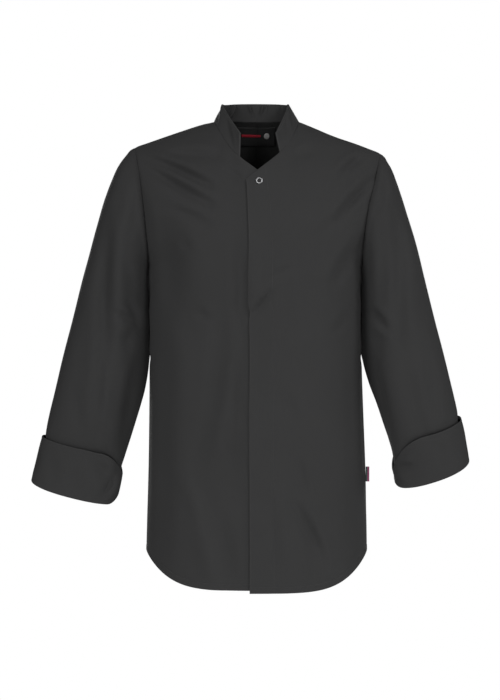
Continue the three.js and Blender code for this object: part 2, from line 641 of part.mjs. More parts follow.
function collarGrid() {
  const bottom = new THREE.CatmullRomCurve3(COLLAR.map(({ x, face }) => {
    return neckSeam(x, face).add(vector(0, 0, face < 0 ? COLLAR_FOOT.front : COLLAR_FOOT.back));
  }));
  const top = new THREE.CatmullRomCurve3(COLLAR.map((row) => vector(row.topX, row.topY, row.topLevel)));
  const columns = 2 * (COLLAR.length - 1);
  return Array.from({ length: COLLAR_STEPS + 1 }, (_, step) => {
    return Array.from({ length: columns + 1 }, (_, c) => {
      const part = c / columns;
      return bottom.getPoint(part).lerp(top.getPoint(part), step / COLLAR_STEPS);
    });
  });
}

function makeCollar() {
  const middle = collarGrid();
  const apart = (COLLAR_LAYER + SEAM_GAP) / 2;
  return [["collar_outer", apart], ["collar_inner", -apart]].map(([name, amount]) => {
    return piece(name, clothWall(movedOut(middle, amount, false), COLLAR_LAYER), clothMaterial);
  });
}

// A point of a body face at a place seen from the front, with its outward direction.
function placeOnBody(face, x, level, out) {
  const at = (px, pz) => {
    const side = Math.sign(px) || 1;
    const ridge = read(SHOULDER_LINE, "out", Math.abs(px), sideName(side));
    const rise = (pz - UNDERARM) / (ridge - UNDERARM);
    return bodyPoint(face, side, turnAt(face, side, Math.abs(px), rise), rise, SIDE_HEM);
  };
  const near = 2;
  const across = at(x + near, level).sub(at(x - near, level));
  const upward = at(x, level + near).sub(at(x, level - near));
  const normal = across.cross(upward).normalize();
  if (normal.y * face < 0) normal.negate();
  return { point: at(x, level).addScaledVector(normal, out), normal };
}

// An open ring of pressed metal whose cloth shows in the middle, seated on the left front.
function makeSnap() {
  const { outer, hole, height, roundOff, sides } = SNAP;
  const profile = [
    [hole, 0],
    [outer, 0],
    [outer, height / 2],
    [outer - roundOff, height - roundOff],
    [(outer + hole) / 2, height],
    [hole + roundOff, height - roundOff],
    [hole, height / 2],
    [hole, 0],
  ].map(([radius, rise]) => new THREE.Vector2(radius, rise));
  const geometry = new THREE.LatheGeometry(profile, sides);
  const seat = FRONTS.left.lap + CLOTH / 2 + SEAM_GAP;
  const { point, normal } = placeOnBody(-1, SNAP.x, SNAP.level, seat);
  const mesh = piece("snap_ring", geometry, metalMaterial);
  mesh.quaternion.setFromUnitVectors(vector(0, 1, 0), normal);
  mesh.position.copy(point);
  return mesh;
}

// A plain woven label inside the back of the neck, made from the back's own points moved in.
function makeNeckLabel() {
  const { columnsEachSide, rowsBelowSeam } = NECK_LABEL;
  const inside = -(CLOTH / 2 + LABEL_THICKNESS / 2 + SEAM_GAP);
  const back = movedOut(backGrid(), inside, false);
  const middle = (back[0].length - 1) / 2;
  const rows = back.slice(back.length - 1 - rowsBelowSeam, -1);
  const grid = rows.map((row) => row.slice(middle - columnsEachSide, middle + columnsEachSide + 1));
  return piece("neck_label", clothWall(grid, LABEL_THICKNESS), labelMaterial);
}

// A folded tab that stands out of the left side seam, with a round fold at its free end.
function makeSideTab() {
  const { top, bottom, proud, thickness, root } = SIDE_TAB;
  const radius = thickness / 2;
  const side = read(BODY_SIZES, "level", (top + bottom) / 2, "left");
  const start = side + CLOTH / 2 + root;
  const outline = new THREE.Shape();
  outline.moveTo(start, -radius);
  outline.lineTo(start + proud - radius, -radius);
  outline.absarc(start + proud - radius, 0, radius, -Math.PI / 2, Math.PI / 2, false);
  outline.lineTo(start, radius);
  outline.closePath();
  const geometry = new THREE.ExtrudeGeometry(outline, {
    depth: top - bottom,
    bevelEnabled: false,
    curveSegments: 8,
  });
  const mesh = piece("side_tab", geometry, tabMaterial);
  mesh.position.z = bottom;
  return mesh;
}

const jacket = new THREE.Group();
jacket.add(
  makeFront("right"),
  makeFront("left"),
  makeBack(),
  makeSleeve(-1),
  makeSleeve(1),
  makeCuff(-1),
  makeCuff(1),
  ...makeCollar(),
  makeSnap(),
  makeNeckLabel(),
  makeSideTab(),
);

export default jacket;
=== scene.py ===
# A chef jacket, worn and filled out with nobody in it. The front faces -Y and the wearer's left
# is +X. The sizes of the cut and of the creases are in millimetres, as a maker reads them, and MM
# turns them into metres where a mesh is made.
import math

import bpy
import numpy as np
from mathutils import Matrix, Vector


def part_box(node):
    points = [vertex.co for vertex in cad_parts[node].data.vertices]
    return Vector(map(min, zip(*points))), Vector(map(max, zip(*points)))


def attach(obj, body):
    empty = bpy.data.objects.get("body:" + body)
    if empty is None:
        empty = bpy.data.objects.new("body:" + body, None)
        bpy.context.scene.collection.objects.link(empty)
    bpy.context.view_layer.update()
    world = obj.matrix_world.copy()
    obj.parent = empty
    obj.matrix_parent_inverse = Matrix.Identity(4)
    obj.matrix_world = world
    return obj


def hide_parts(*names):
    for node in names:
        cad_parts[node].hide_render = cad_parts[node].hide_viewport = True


bl_info = {
    "name": "Chef jacket",
    "version": (1, 0, 0),
    "blender": (4, 5, 0),
    "location": "3D View > Sidebar > Jacket",
    "description": "Builds a worn chef jacket with a concealed front closing",
    "category": "Object",
}

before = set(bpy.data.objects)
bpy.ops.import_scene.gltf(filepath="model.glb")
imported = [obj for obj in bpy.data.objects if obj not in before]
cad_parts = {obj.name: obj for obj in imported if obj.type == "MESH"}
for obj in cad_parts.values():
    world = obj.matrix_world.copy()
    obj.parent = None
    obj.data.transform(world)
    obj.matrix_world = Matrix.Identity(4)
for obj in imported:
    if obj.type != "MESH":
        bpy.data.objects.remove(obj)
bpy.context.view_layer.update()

MM = 0.001


def table(columns, *rows):
    """Sizes by the name of their column. The first column is the one that is looked up."""
    return dict(zip(columns.split(), np.array(rows, float).T))


# The cut of the body
UNDERARM = -243.0
SIDE_HEM = -700.0
HEM_CURVE = 4.7
BODY_ROUNDNESS = 0.82
NECK_HALF_WIDTH = 69.0
SEAM_GAP = 0.3
SEAM_APART = 0.03
CLOTH = 1.6
LAP = 2.4
LAP_FLAT_TO = 34.0
LAP_GONE_AT = 62.0
EDGE_STANDS_OFF = 1.3
CHEST_SLOPE = (2.2, 1.8)
BACK_SLOPE = (4.2, 2.1)
FLAT_SEAM_FROM = 0.82
FLAT_SEAM_TO = 0.98

BODY_SIZES = table(
    "level right left front back",
    (-757, 180, 181, 127, 121),
    (-700, 179.6, 180, 126, 119),
    (-587, 176.5, 178, 123, 114),
    (-480, 175, 174, 121, 109),
    (-390, 174.5, 171.5, 120, 107),
    (-300, 176.5, 171.5, 123, 113),
    (-243, 178, 172.5, 125, 117),
    (-186, 178, 172.5, 123, 113),
)
ARMHOLE = table(
    "rise right left front_angle back_angle",
    (0, 178, 172.5, 90, 90),
    (0.1, 176, 171.5, 76, 77),
    (0.25, 178, 173.5, 66, 68),
    (0.5, 183, 181, 60, 63),
    (0.7, 188.5, 190.5, 60, 62),
    (0.85, 193.5, 196.5, 62, 63),
    (1, 199, 203, 66, 66),
)
SHOULDER_LINE = table(
    "out right left",
    (0, 22, 23),
    (40, 10, 11),
    (69, -0.5, -0.5),
    (90, -5.5, -9),
    (127, -17.5, -24.5),
    (165, -30.5, -37.5),
    (204, -44, -52.5),
)
NECKLINES = {
    "right": table("out level", (-30, -109), (-2, -85.6), (27, -63), (46, -42), (69, -0.5)),
    "left": table("out level", (-16, -101), (2, -85.6), (37.5, -56.5), (54, -36), (69, -0.5)),
    "back": table("out level", (0, 5), (45, 4), (69, -0.5)),
}
FRONT_EDGES = {
    "right": table("level out", (-757, -30), (-100, -30)),
    "left": table("level out", (-762, -10.7), (-220, -12.2), (-150, -14), (-98, -16.3)),
}
HEMS = {"right": -757.0, "left": -761.5, "back": -759.0}

# Creases of the body, seen from the front, or through the body from the back. Each runs from one
# place to another, in mm across and up, and then has its reach, its depth, how far it bows aside,
# and the part of its depth that stands up as a lip beside it. A ridge has a depth above zero.
FRONT_CREASES = [
    (-128, -200, -142, -320, 32, -5, 0, 0),
    (-150, -58, -84, -100, 15, -3, 0, 0),
    (-160, -92, -92, -142, 16, -3.2, 0, 0),
    (186, -60, 134, -152, 17, -3.4, 0, 0),
    (172, -180, 128, -262, 18, -3.2, 0, 0),
    (70, -600, 112, -712, 20, -2.6, 0, 0),
    (-104, -560, -78, -730, 22, 2.4, 0, 0),
    (-192, -58, -76, -111, 8, -13, 3, 0.5),
    (-188, -72, -76, -140, 8, -12, 0, 0.4),
    (-142, -146, -80, -172, 8, -5.8, 2, 0.5),
    (-144, -56, -62, -64, 9, -7, 2, 0.4),
    (-190, -120, -176, -196, 9, -4.6, 3, 0.3),
    (-158, -160, -146, -300, 25, -12, 6, 0.2),
    (-120, -196, -108, -214, 8, -2.5, 0, 0.4),
    (-160, -318, -158, -540, 19, -8.5, 5, 0.35),
    (-156, -500, -160, -716, 18, -8.4, 4, 0.35),
    (-58, -326, -94, -548, 14, -5, 8, 0.6),
    (-96, -312, -76, -324, 7, -2.9, 0, 0.4),
    (-46, -500, -30, -560, 12, -2.9, 2, 0.4),
    (-30, -200, -26, -330, 11, -4.6, 3, 0.5),
    (-32, -400, -27, -560, 10, -3.8, 3, 0.5),
    (-118, -578, -92, -652, 13, 4.6, 3, 0.3),
    (-96, -656, -70, -748, 15, 5, 3, 0.3),
    (-60, -640, -44, -748, 13, -2.9, 4, 0.4),
    (-44, -84, -24, -104, 7, -2.9, 0, 0.4),
    (-46, -62, -28, -78, 6, -2.9, 0, 0.3),
    (130, -166, 198, -90, 8.5, -13.5, 3, 0.4),
    (138, -92, 180, -52, 8, -11, 2, 0.5),
    (112, -128, 168, -84, 9, -2.5, 3, 0.3),
    (128, -262, 182, -188, 9.5, -10.5, 4, 0.4),
    (146, -170, 186, -128, 8, -3.4, 0, 0.4),
    (158, -118, 184, -104, 6, 2.9, 0, 0),
    (96, -192, 128, -168, 9, -2.9, 2, 0.4),
    (-10, -322, 28, -278, 7, -5.5, 2, 0.5),
    (22, -264, 50, -244, 7, -2.9, 2, 0.5),
    (70, -236, 66, -384, 25, -4.6, 6, 0.3),
    (128, -344, 152, -314, 8, -3.8, 0, 0.4),
    (44, -440, 56, -482, 10, -2.9, 0, 0.4),
    (154, -350, 156, -470, 13, -5, 3, 0.4),
    (156, -462, 157, -682, 14, -6.7, 5, 0.4),
    (62, -544, 74, -604, 9, -3.4, 2, 0.4),
    (60, -622, 106, -722, 10, -8.4, 4, 0.5),
    (80, -690, 92, -748, 9, -3.8, 2, 0.4),
    (18, -620, 30, -744, 13, -2.9, 3, 0.4),
    (-86, -23, -70, -16, 1.8, -3.4, 0, 0.4),
    (62, -66, 96, -50, 9, -3.4, 2, 0.4),
    (-58, -30, -64, -62, 6, -2.5, 2, 0.3),
]
BACK_CREASES = [
    (-60, -330, -34, -640, 26, -4, 0, 0),
    (52, -300, 84, -600, 26, -4, 0, 0),
    (-150, -180, -96, -330, 20, -3.4, 0, 0),
    (152, -170, 100, -310, 20, -3.2, 0, 0),
    (-160, -70, -108, -180, 14, -3.1, 8, 0.4),
    (-176, -120, -120, -230, 11, -2.7, -6, 0.5),
    (158, -64, 112, -190, 13, -2.9, -8, 0.4),
    (172, -150, 118, -240, 10, -2.5, 6, 0.5),
    (-30, -40, -44, -250, 22, -2, 8, 0.4),
    (24, -60, 36, -230, 20, -1.9, -6, 0.4),
    (-140, -350, -120, -380, 9, -2, 2, 0.5),
    (-110, -372, -30, -392, 10, -2.2, 5, 0.6),
    (20, -386, 118, -366, 10, -2.4, -5, 0.6),
    (60, -416, 140, -402, 8, -1.7, -3, 0.5),
    (-128, -412, -52, -424, 8, -1.5, 3, 0.5),
    (-8, -420, 6, -690, 22, -3.7, -9, 0.3),
    (-112, -460, -104, -720, 20, -4.4, 9, 0.3),
    (124, -450, 112, -710, 18, -4.1, -8, 0.3),
    (-150, -500, -158, -700, 14, -2.9, 5, 0.4),
    (150, -520, 160, -690, 13, -2.5, -5, 0.4),
    (-36, -560, -28, -745, 13, 2, 4, 0.3),
    (64, -600, 58, -745, 14, 2.2, -4, 0.3),
]
# Creases of the two sides under the arms, seen from that side: mm to the front and up.
SIDE_CREASES = {
    "right": [
        (-52, -262, 18, -330, 13, -2.2, 6, 0.4),
        (30, -280, -20, -356, 12, -1.8, -6, 0.4),
        (-40, -392, 44, -384, 9, -1.6, 3, 0.5),
        (-26, -440, -34, -640, 16, -1.8, 6, 0.3),
        (40, -470, 46, -660, 15, -1.6, -5, 0.3),
    ],
    "left": [
        (-46, -258, 22, -322, 13, -2, 6, 0.4),
        (34, -270, -26, -350, 12, -1.8, -6, 0.4),
        (-44, -378, 38, -390, 9, -1.6, -3, 0.5),
        (-30, -430, -22, -630, 16, -1.8, -6, 0.3),
        (36, -450, 40, -660, 15, -1.6, 5, 0.3),
    ],
}

# Sleeves: rings round the arm from the armhole down. outer and inner are the edges seen from the
# front; deep is half the size front to back, middle its place, and dip how much lower the front
# of the ring is.
SLEEVE_COLUMNS = "ring outer outer_level inner inner_level deep middle dip"
SLEEVES = {
    "right": table(
        SLEEVE_COLUMNS,
        (0, 199, -42.5, 178, -243, 62, 0, 0),
        (1, 212, -54, 178.4, -247, 68, 0, 0),
        (2, 226, -73, 177.7, -251, 72, 0, 0),
        (3, 237, -98, 177.6, -256, 74, 0, 0),
        (4, 250, -134.5, 178, -264, 75, 0, 0),
        (5, 261.5, -174, 179.2, -275, 75, 0, 0),
        (6, 272.5, -216, 180.4, -292, 74, -1, 0),
        (7, 284, -258, 181, -314, 72, -2, 0),
        (8, 295, -302, 180, -342, 69, -4, 0),
        (9, 306, -346, 179, -376, 65, -7, 0),
        (10, 316, -388, 182.5, -420, 59, -12, 2),
        (11, 326, -432, 191, -464, 51, -18, 4),
        (12, 336, -474, 202.5, -506, 42, -24, 5),
        (13, 345, -514, 214, -544, 34, -29, 6),
        (14, 351.5, -539, 221.5, -567, 31, -32, 8),
        (15, 357.5, -563, 224.5, -593, 29, -34, 9),
        (16, 363, -587, 230.5, -620, 28, -36, 10),
    ),
    "left": table(
        SLEEVE_COLUMNS,
        (0, 203, -52, 172.5, -243, 62, 0, 0),
        (1, 212, -63, 173.2, -247, 67, 0, 0),
        (2, 221, -78, 172.6, -251, 71, 0, 0),
        (3, 229.5, -101, 172.5, -256, 73, 0, 0),
        (4, 240.5, -134.5, 173.2, -264, 74, 0, 0),
        (5, 252, -174, 174.5, -275, 74, 0, 0),
        (6, 263.5, -214, 175.6, -292, 73, -1, 0),
        (7, 274.5, -258, 176.5, -314, 71, -2, 0),
        (8, 285.5, -302, 176.5, -342, 68, -4, 0),
        (9, 296.5, -346, 176, -376, 65, -8, 0),
        (10, 306.5, -388, 183, -414, 60, -14, 3),
        (11, 315.5, -426, 196, -456, 54, -21, 6),
        (12, 323, -458, 206.5, -491, 48, -27, 9),
        (13, 329, -485, 215, -518, 44, -32, 12),
        (14, 334, -508, 221.5, -540, 41, -36, 14),
        (15, 338.5, -531, 225, -565, 39, -39, 15),
        (16, 342, -554, 227.5, -590, 38, -42, 15),
    ),
}
SLEEVE_ROUNDNESS = 0.9
SLEEVE_CLEARANCE = 0.5
# The seam allowance of the sleeve, under the body: mm in from the seam and mm towards the body
SLEEVE_TUCK = ((3.2, 2.6), (2.8, 1.4), (2.2, 0.4), (1.3, -0.2))
FIT_TO_ARMHOLE = table("ring fit", (0, 1), (1, 0.72), (2, 0.45), (3, 0.25), (4, 0.12), (5, 0.05), (6, 0))
LAST_RING = 16.0
RING_LENGTH = 41.0
# Creases of a sleeve: from a ring and an angle to another, then as above. The angle goes round
# from the outer edge, 0, by the front, 90, to the edge that faces the body, 180.
SLEEVE_CREASES = {
    "right": [
        (5, 70, 8.6, 70, 20, -3.5, 0, 0),
        (8, 120, 9.4, 120, 18, -4, 0, 0),
        (7.6, 250, 9.8, 250, 22, -4, 0, 0),
        (3.2, 180, 10.2, 180, 30, 5.6, 0, 0),
        (7.8, 196, 8.6, 250, 11, -3.8, 6, 0.5),
        (8.7, 192, 9.4, 262, 10, -3.6, -5, 0.5),
        (9.8, 200, 10.2, 260, 11, -3.1, 5, 0.5),
        (2.6, 284, 6.4, 268, 16, -3.6, 8, 0.4),
        (4.0, 236, 6.8, 226, 15, -3.4, -7, 0.4),
        (1.2, 262, 3.4, 246, 13, -2.6, 5, 0.4),
        (10.4, 286, 13.0, 276, 14, -3.1, 6, 0.4),
        (10.8, 232, 13.2, 240, 12, -2.6, -5, 0.4),
        (6.0, 318, 9.4, 330, 15, -2.4, -6, 0.4),
        (9.2, 342, 11.4, 352, 13, -1.9, 4, 0.4),
    ],
    "left": [
        (5, 62, 8.4, 62, 20, -3, 0, 0),
        (8.2, 128, 9.6, 128, 18, -4.5, 0, 0),
        (7.8, 245, 9.8, 245, 22, -4, 0, 0),
        (3.2, 180, 10.2, 180, 30, 5.6, 0, 0),
        (7.6, 196, 8.5, 252, 11, -3.7, -6, 0.5),
        (8.6, 190, 9.6, 258, 10, -3.7, 5, 0.5),
        (10.0, 204, 10.6, 262, 11, -3, -5, 0.5),
        (2.4, 288, 6.2, 262, 16, -3.6, -8, 0.4),
        (4.2, 232, 7.0, 224, 15, -3.1, 7, 0.4),
        (1.4, 258, 3.6, 242, 13, -2.5, -5, 0.4),
        (10.6, 284, 12.8, 272, 14, -2.9, -6, 0.4),
        (10.4, 236, 13.0, 232, 12, -2.8, 5, 0.4),
        (5.4, 322, 9.0, 312, 15, -2.4, 6, 0.4),
        (9.6, 338, 11.6, 348, 13, -1.9, -4, 0.4),
    ],
}
# Creases of the front of a sleeve, as it is seen from the front: mm across and up, then as above.
SLEEVE_FRONT_CREASES = {
    "right": [
        (-242, -160, -245, -388, 13, -9, -3, 0.5),
        (-228, -190, -226, -300, 13, 2, 0, 0),
        (-206, -298, -186, -348, 7, -5.2, 2, 0.5),
        (-228, -314, -198, -329, 6, -3, 1, 0.5),
        (-226, -334, -202, -346, 12, 3.8, 0, 0),
        (-165, -350, -203, -546, 20, -24, -2, 0.12),
        (-252, -376, -260, -488, 7, -3.2, 2, 0.5),
        (-240, -414, -243, -486, 13, 2.5, 0, 0),
        (-284, -300, -296, -470, 14, -2.2, 4, 0.5),
        (-216, -96, -226, -160, 10, -2.2, -3, 0.4),
        (-198, -120, -206, -190, 9, -2.2, 3, 0.4),
        (-212, -232, -200, -286, 10, -2.2, 2, 0.4),
        (-300, -430, -284, -520, 12, -2, 3, 0.4),
        (-262, -500, -280, -540, 10, -2, 0, 0.4),
    ],
    "left": [
        (226, -126, 230, -360, 12, -6, 3, 0.5),
        (192, -166, 191, -300, 8, 3.5, 0, 0),
        (252, -170, 262, -330, 15, 2, 0, 0),
        (182, -308, 209, -342, 7, -5, 2, 0.5),
        (186, -334, 214, -352, 7, 2.8, 0, 0),
        (160, -350, 201, -544, 20, -26, 2, 0.12),
        (277, -380, 284, -486, 10, -2.5, 3, 0.5),
        (240, -400, 256, -500, 13, -2.2, 3, 0.5),
        (204, -92, 198, -150, 9, -2.2, 3, 0.4),
        (234, -104, 240, -170, 10, -2, 3, 0.4),
        (206, -222, 200, -290, 9, -2, 2, 0.4),
        (262, -480, 276, -520, 10, -1.8, 0, 0.4),
    ],
}

# Turned-back cuffs
CUFF_RINGS = 3.0
CUFF_RING_LENGTH = 24.0
CUFFS = {
    "right": {"corner": 0.42, "corner_drop": 0.5, "heel": 0.82, "heel_rise": 0.2, "lip": 1.5,
              "press_at": 138},
    "left": {"corner": 0.1, "corner_drop": 0.78, "heel": 0.86, "heel_rise": 0.06, "lip": 0.75,
             "press_at": 96},
}
CUFF_LIFT = 2.8
CUFF_SEAM_GAP = 0.5
CUFF_SLIT = 5.0
# Creases of a cuff: angle and mm up from the fold, to another place, then as above.
CUFF_CREASES = {
    "right": [
        (230, 18, 216, 50, 10, -1.8, 4, 0.4),
        (286, 16, 300, 54, 12, -1.6, 4, 0.4),
        (20, 16, 10, 50, 11, -1.2, 3, 0.4),
    ],
    "left": [
        (226, 18, 214, 44, 10, -1.8, 4, 0.4),
        (282, 14, 296, 52, 12, -1.6, 4, 0.4),
        (14, 16, 24, 46, 11, -1.2, 3, 0.4),
    ],
}
# Creases of the front of a cuff, as it is seen from the front: mm across and up, then as above.
CUFF_FRONT_CREASES = {
    "right": [
        (-258, -556, -236, -588, 9, -4.2, 2, 0.4),
        (-226, -566, -240, -604, 6, -3.4, 2, 0.5),
        (-232, -590, -252, -610, 6, -3.1, 1, 0.5),
        (-300, -566, -290, -612, 14, -2.2, 3, 0.4),
        (-334, -548, -330, -590, 12, -2, 3, 0.4),
    ],
    "left": [
        (226, -566, 252, -561, 6, -4.5, 1, 0.5),
        (226, -576, 242, -586, 5, 2.2, 0, 0),
        (228, -550, 246, -530, 8, -2.5, 2, 0.4),
        (290, -520, 302, -566, 13, -2.2, 3, 0.4),
        (318, -500, 326, -548, 10, -2, 3, 0.4),
    ],
}

# Collar: rows round the neck from the wearer's right end to the left one. x and face place the
# seam, and the rest places the top edge.
COLLAR = table(
    "row x face top_x top_y top_level",
    (0, -27, -1, -26.5, -84, -25),
    (1, -38, -1, -35, -66, -11),
    (2, -50, -1, -43, -42, 3),
    (3, -63, -1, -50.5, -18, 17.5),
    (4, -69, 0, -56, 4, 29),
    (5, -61, 1, -52, 27, 30.5),
    (6, -40, 1, -37, 48, 33.2),
    (7, -14, 1, -13, 58, 34.7),
    (8, 14, 1, 13, 58, 34.7),
    (9, 40, 1, 37, 48, 33.2),
    (10, 61, 1, 49, 27, 30.5),
    (11, 69, 0, 51.5, 4, 29),
    (12, 65, -1, 48.5, -18, 17.5),
    (13, 57, -1, 43, -42, 3),
    (14, 47, -1, 37, -66, -11),
    (15, 37.5, -1, 31, -84, -25),
)
COLLAR_FOOT = -0.7
COLLAR_APART = 0.75
COLLAR_LAYER = 1.2
# Creases of the collar's two layers: place round it, 0 to 15, and mm up from its seam.
COLLAR_CREASES = {
    "outer": [
        (3.2, 4, 4.6, 30, 7, -2.1, 2, 0.4),
        (1.0, 6, 2.2, 30, 9, -1.5, 2, 0.4),
        (11.6, 30, 12.6, 6, 7, -2.1, -2, 0.4),
        (13.4, 8, 13.0, 30, 8, -1.5, 2, 0.4),
        (7.0, 6, 7.6, 30, 9, -1.5, 2, 0.4),
    ],
    "inner": [
        (5.65, 2, 6.2, 35, 3.6, -6.4, 1, 0.5),
        (6.9, 36, 7.25, 14, 3.4, -5.4, -1, 0.4),
        (8.0, 36, 7.75, 14, 3.4, -5.4, 1, 0.4),
        (9.8, 4, 9.35, 36, 3.6, -6, -1, 0.5),
        (10.5, 6, 10.9, 32, 4, -3.2, 1, 0.4),
        (4.6, 6, 5.0, 32, 4, -3.2, 1, 0.4),
    ],
}

SNAP_X = 3.9
SNAP_LEVEL = -104.4
SNAP_CLOTH_RISE = 1.0
LABEL_BAR = (-25.5, 7.5, -17.2, -13.4)
LABEL_DOT = (17.5, -15.6, 4.6)
TAB_DROP = 3.5

# Steps of the cloth's mesh, and how its edges are rounded
STEP = 3.4
EDGE_LINES = (0.25, 0.7, 1.7)
EDGE_ROUND = 0.7
EDGE_LEFT = 0.3
SEAM_DIP = 0.7
SEAM_DIP_REACH = 2.6
GROOVE_REACH = 1.1


def lerp(start, end, part):
    return start + (end - start) * part


def smooth_step(value, low, high):
    part = np.clip((value - low) / (high - low), 0, 1)
    return part * part * (3 - 2 * part)


def signed_power(value, power):
    return np.sign(value) * np.abs(value) ** power


def side_name(side):
    return "right" if side < 0 else "left"


def read(rows, at, column):
    """The value of a column at a place of the first column, on a smooth curve through the rows."""
    keys = next(iter(rows.values()))
    values = rows[column]
    last = len(keys) - 1
    index = np.arange(last + 1)
    before, after = np.maximum(index - 1, 0), np.minimum(index + 1, last)
    slopes = (values[after] - values[before]) / (keys[after] - keys[before])
    place = np.clip(at, keys[0], keys[-1])
    row = np.clip(np.searchsorted(keys, place, side="right") - 1, 0, last - 1)
    span = keys[row + 1] - keys[row]
    part = (place - keys[row]) / span
    pull = slopes[row] * span * part * (1 - part) ** 2
    pull = pull - slopes[row + 1] * span * part**2 * (1 - part)
    return lerp(values[row], values[row + 1], part * part * (3 - 2 * part)) + pull


def crease_sum(across, along, creases):
    """How far a list of creases moves the cloth out, at places across and along it in mm."""
    moved = np.zeros(np.broadcast(across, along).shape)
    for from_u, from_v, to_u, to_v, reach, depth, bow, lip in creases:
        run_u, run_v = to_u - from_u, to_v - from_v
        length = math.hypot(run_u, run_v)
        du, dv = across - from_u, along - from_v
        part = (du * run_u + dv * run_v) / length**2
        held = np.clip(part, 0, 1)
        beyond = (part - held) * length / reach
        aside = (dv * run_u - du * run_v) / length - bow * 4 * held * (1 - held)
        aside = aside / reach
        shape = np.exp(-(aside**2) - beyond**2)
        shape = shape - lip * np.exp(-((aside - 1.7) ** 2) - beyond**2)
        moved += depth * np.sin(np.pi * lerp(0.12, 0.88, held)) * shape
    return moved


def slack(across, along):
    """The slight waves that loose cloth always has, in mm, at places across and along it."""
    waves = 0.34 * np.sin(across / 31 + 1.2 * np.sin(along / 47) + 0.4)
    waves = waves + 0.26 * np.sin(along / 39 + 1.4 * np.sin(across / 36) + 2.1)
    return waves + 0.16 * np.sin((across + 0.7 * along) / 17 + 1.1 * np.sin(along / 29))


def near_shoulder(rise):
    """Part of a crease that is left near the shoulder seam, which lies flat."""
    return 1 - smooth_step(rise, FLAT_SEAM_FROM, FLAT_SEAM_TO)


def body_ring(face, side, rise):
    """The turn at which the body's cloth ends at its side, and half its width, at a rise."""
    rise = np.maximum(rise, 0)
    angle = read(ARMHOLE, rise, "front_angle" if face < 0 else "back_angle")
    width = read(ARMHOLE, rise, side_name(side))
    return angle, width / np.sin(np.radians(angle)) ** BODY_ROUNDNESS


def body_point(face, side, turn, rise, hem):
    """Points on the middle of the body's cloth, turn degrees round from the middle of a face."""
    turn, rise = np.broadcast_arrays(np.asarray(turn, float), np.asarray(rise, float))
    name = side_name(side)
    depth_name = "front" if face < 0 else "back"
    across = signed_power(np.sin(np.radians(turn)), BODY_ROUNDNESS)
    ahead = np.maximum(np.cos(np.radians(turn)), 0) ** BODY_ROUNDNESS
    hem_level = lerp(hem, SIDE_HEM, np.abs(across) ** HEM_CURVE)
    low_level = lerp(UNDERARM, hem_level, -rise)
    out = across * body_ring(face, side, rise)[1]
    high_level = lerp(UNDERARM, read(SHOULDER_LINE, np.abs(out), name), rise)
    power, root = CHEST_SLOPE if face < 0 else BACK_SLOPE
    closing = (1 - np.clip(rise, 0, 1) ** power) ** (1 / root)
    low = rise <= 0
    level = np.where(low, low_level, high_level)
    x = side * np.where(low, across * read(BODY_SIZES, low_level, name), out)
    depth = np.where(
        low,
        read(BODY_SIZES, low_level, depth_name),
        read(BODY_SIZES, UNDERARM, depth_name) * closing,
    )
    creases = FRONT_CREASES if face < 0 else BACK_CREASES
    flat = near_shoulder(rise)
    moved = (crease_sum(x, level, creases) + slack(x, level)) * ahead * flat
    y = face * (depth * ahead + SEAM_APART + moved)
    aside = np.abs(across) ** 6 * flat * smooth_step(-rise, 0, 0.06)
    x = x + side * crease_sum(y, level, SIDE_CREASES[name]) * aside
    return np.stack([x, y, level], axis=-1)


def turn_at(face, side, out, rise):
    """The turn at which the body's cloth is a given distance out from the middle."""
    low_width = read(BODY_SIZES, UNDERARM, side_name(side))
    width = np.where(np.asarray(rise) <= 0, low_width, body_ring(face, side, rise)[1])
    return np.degrees(np.arcsin(signed_power(out / width, 1 / BODY_ROUNDNESS)))


def places(length, step=STEP, starts=EDGE_LINES, ends=EDGE_LINES):
    """Fractions of a length in mm: even steps, and lines close beside its two ends."""
    even = np.linspace(0, 1, max(2, round(length / step)) + 1)
    first = np.array(starts) / length
    last = 1 - np.array(ends) / length
    low = first.max(initial=0) + 0.4 * step / length
    high = last.min(initial=1) - 0.4 * step / length
    between = even[(even > low) & (even < high)]
    return np.unique(np.concatenate([[0], first, between, last, [1]]))


def arc(grid, axis):
    """Distance along each row or column of a grid of points, from its first point."""
    steps = np.linalg.norm(np.diff(grid, axis=axis), axis=-1)
    start = np.zeros_like(np.take(steps, [0], axis=axis))
    return np.concatenate([start, np.cumsum(steps, axis=axis)], axis=axis)


def from_end(distances, axis):
    """The same distances from the other end of each row or column."""
    return np.take(distances, [-1], axis=axis) - distances


def groove(distance, at, depth):
    """The dent that a row of stitches pulls into the cloth at a distance from an edge."""
    return -depth * np.exp(-(((distance - at) / GROOVE_REACH) ** 2))


def seam_roll(distance, dip=SEAM_DIP, swell=0.25):
    """Cloth dips into a seam and stands a little full beside it."""
    dent = -dip * np.exp(-((distance / SEAM_DIP_REACH) ** 2))
    return dent + swell * np.exp(-(((distance - 9) / 6) ** 2))


def grid_normals(grid, closed=False, inside_out=False):
    """Outward unit normals of a grid of points, whose columns go round where it is closed."""
    if closed:
        across = np.roll(grid, -1, axis=1) - np.roll(grid, 1, axis=1)
    else:
        across = np.gradient(grid, axis=1)
    along = np.gradient(grid, axis=0)
    normals = np.cross(across, along)
    normals /= np.maximum(np.linalg.norm(normals, axis=-1, keepdims=True), 1e-9)
    outward = grid - grid.mean(axis=(0, 1)) if closed else grid * [1, 1, 0]
    if inside_out:
        outward = -outward
    return normals if (normals * outward).sum() > 0 else -normals


def flatten_normals(normals, rows, columns):
    """Turns the normals of a seam so that they have no part front to back."""
    part = normals[rows, columns] * [1, 0, 1]
    normals[rows, columns] = part / np.linalg.norm(part, axis=-1, keepdims=True)


def rounding(distance):
    """How much of the cloth's thickness is left at a distance from its edge."""
    part = 1 - np.clip(distance / EDGE_ROUND, 0, 1)
    return EDGE_LEFT + (1 - EDGE_LEFT) * np.sqrt(1 - part**2)


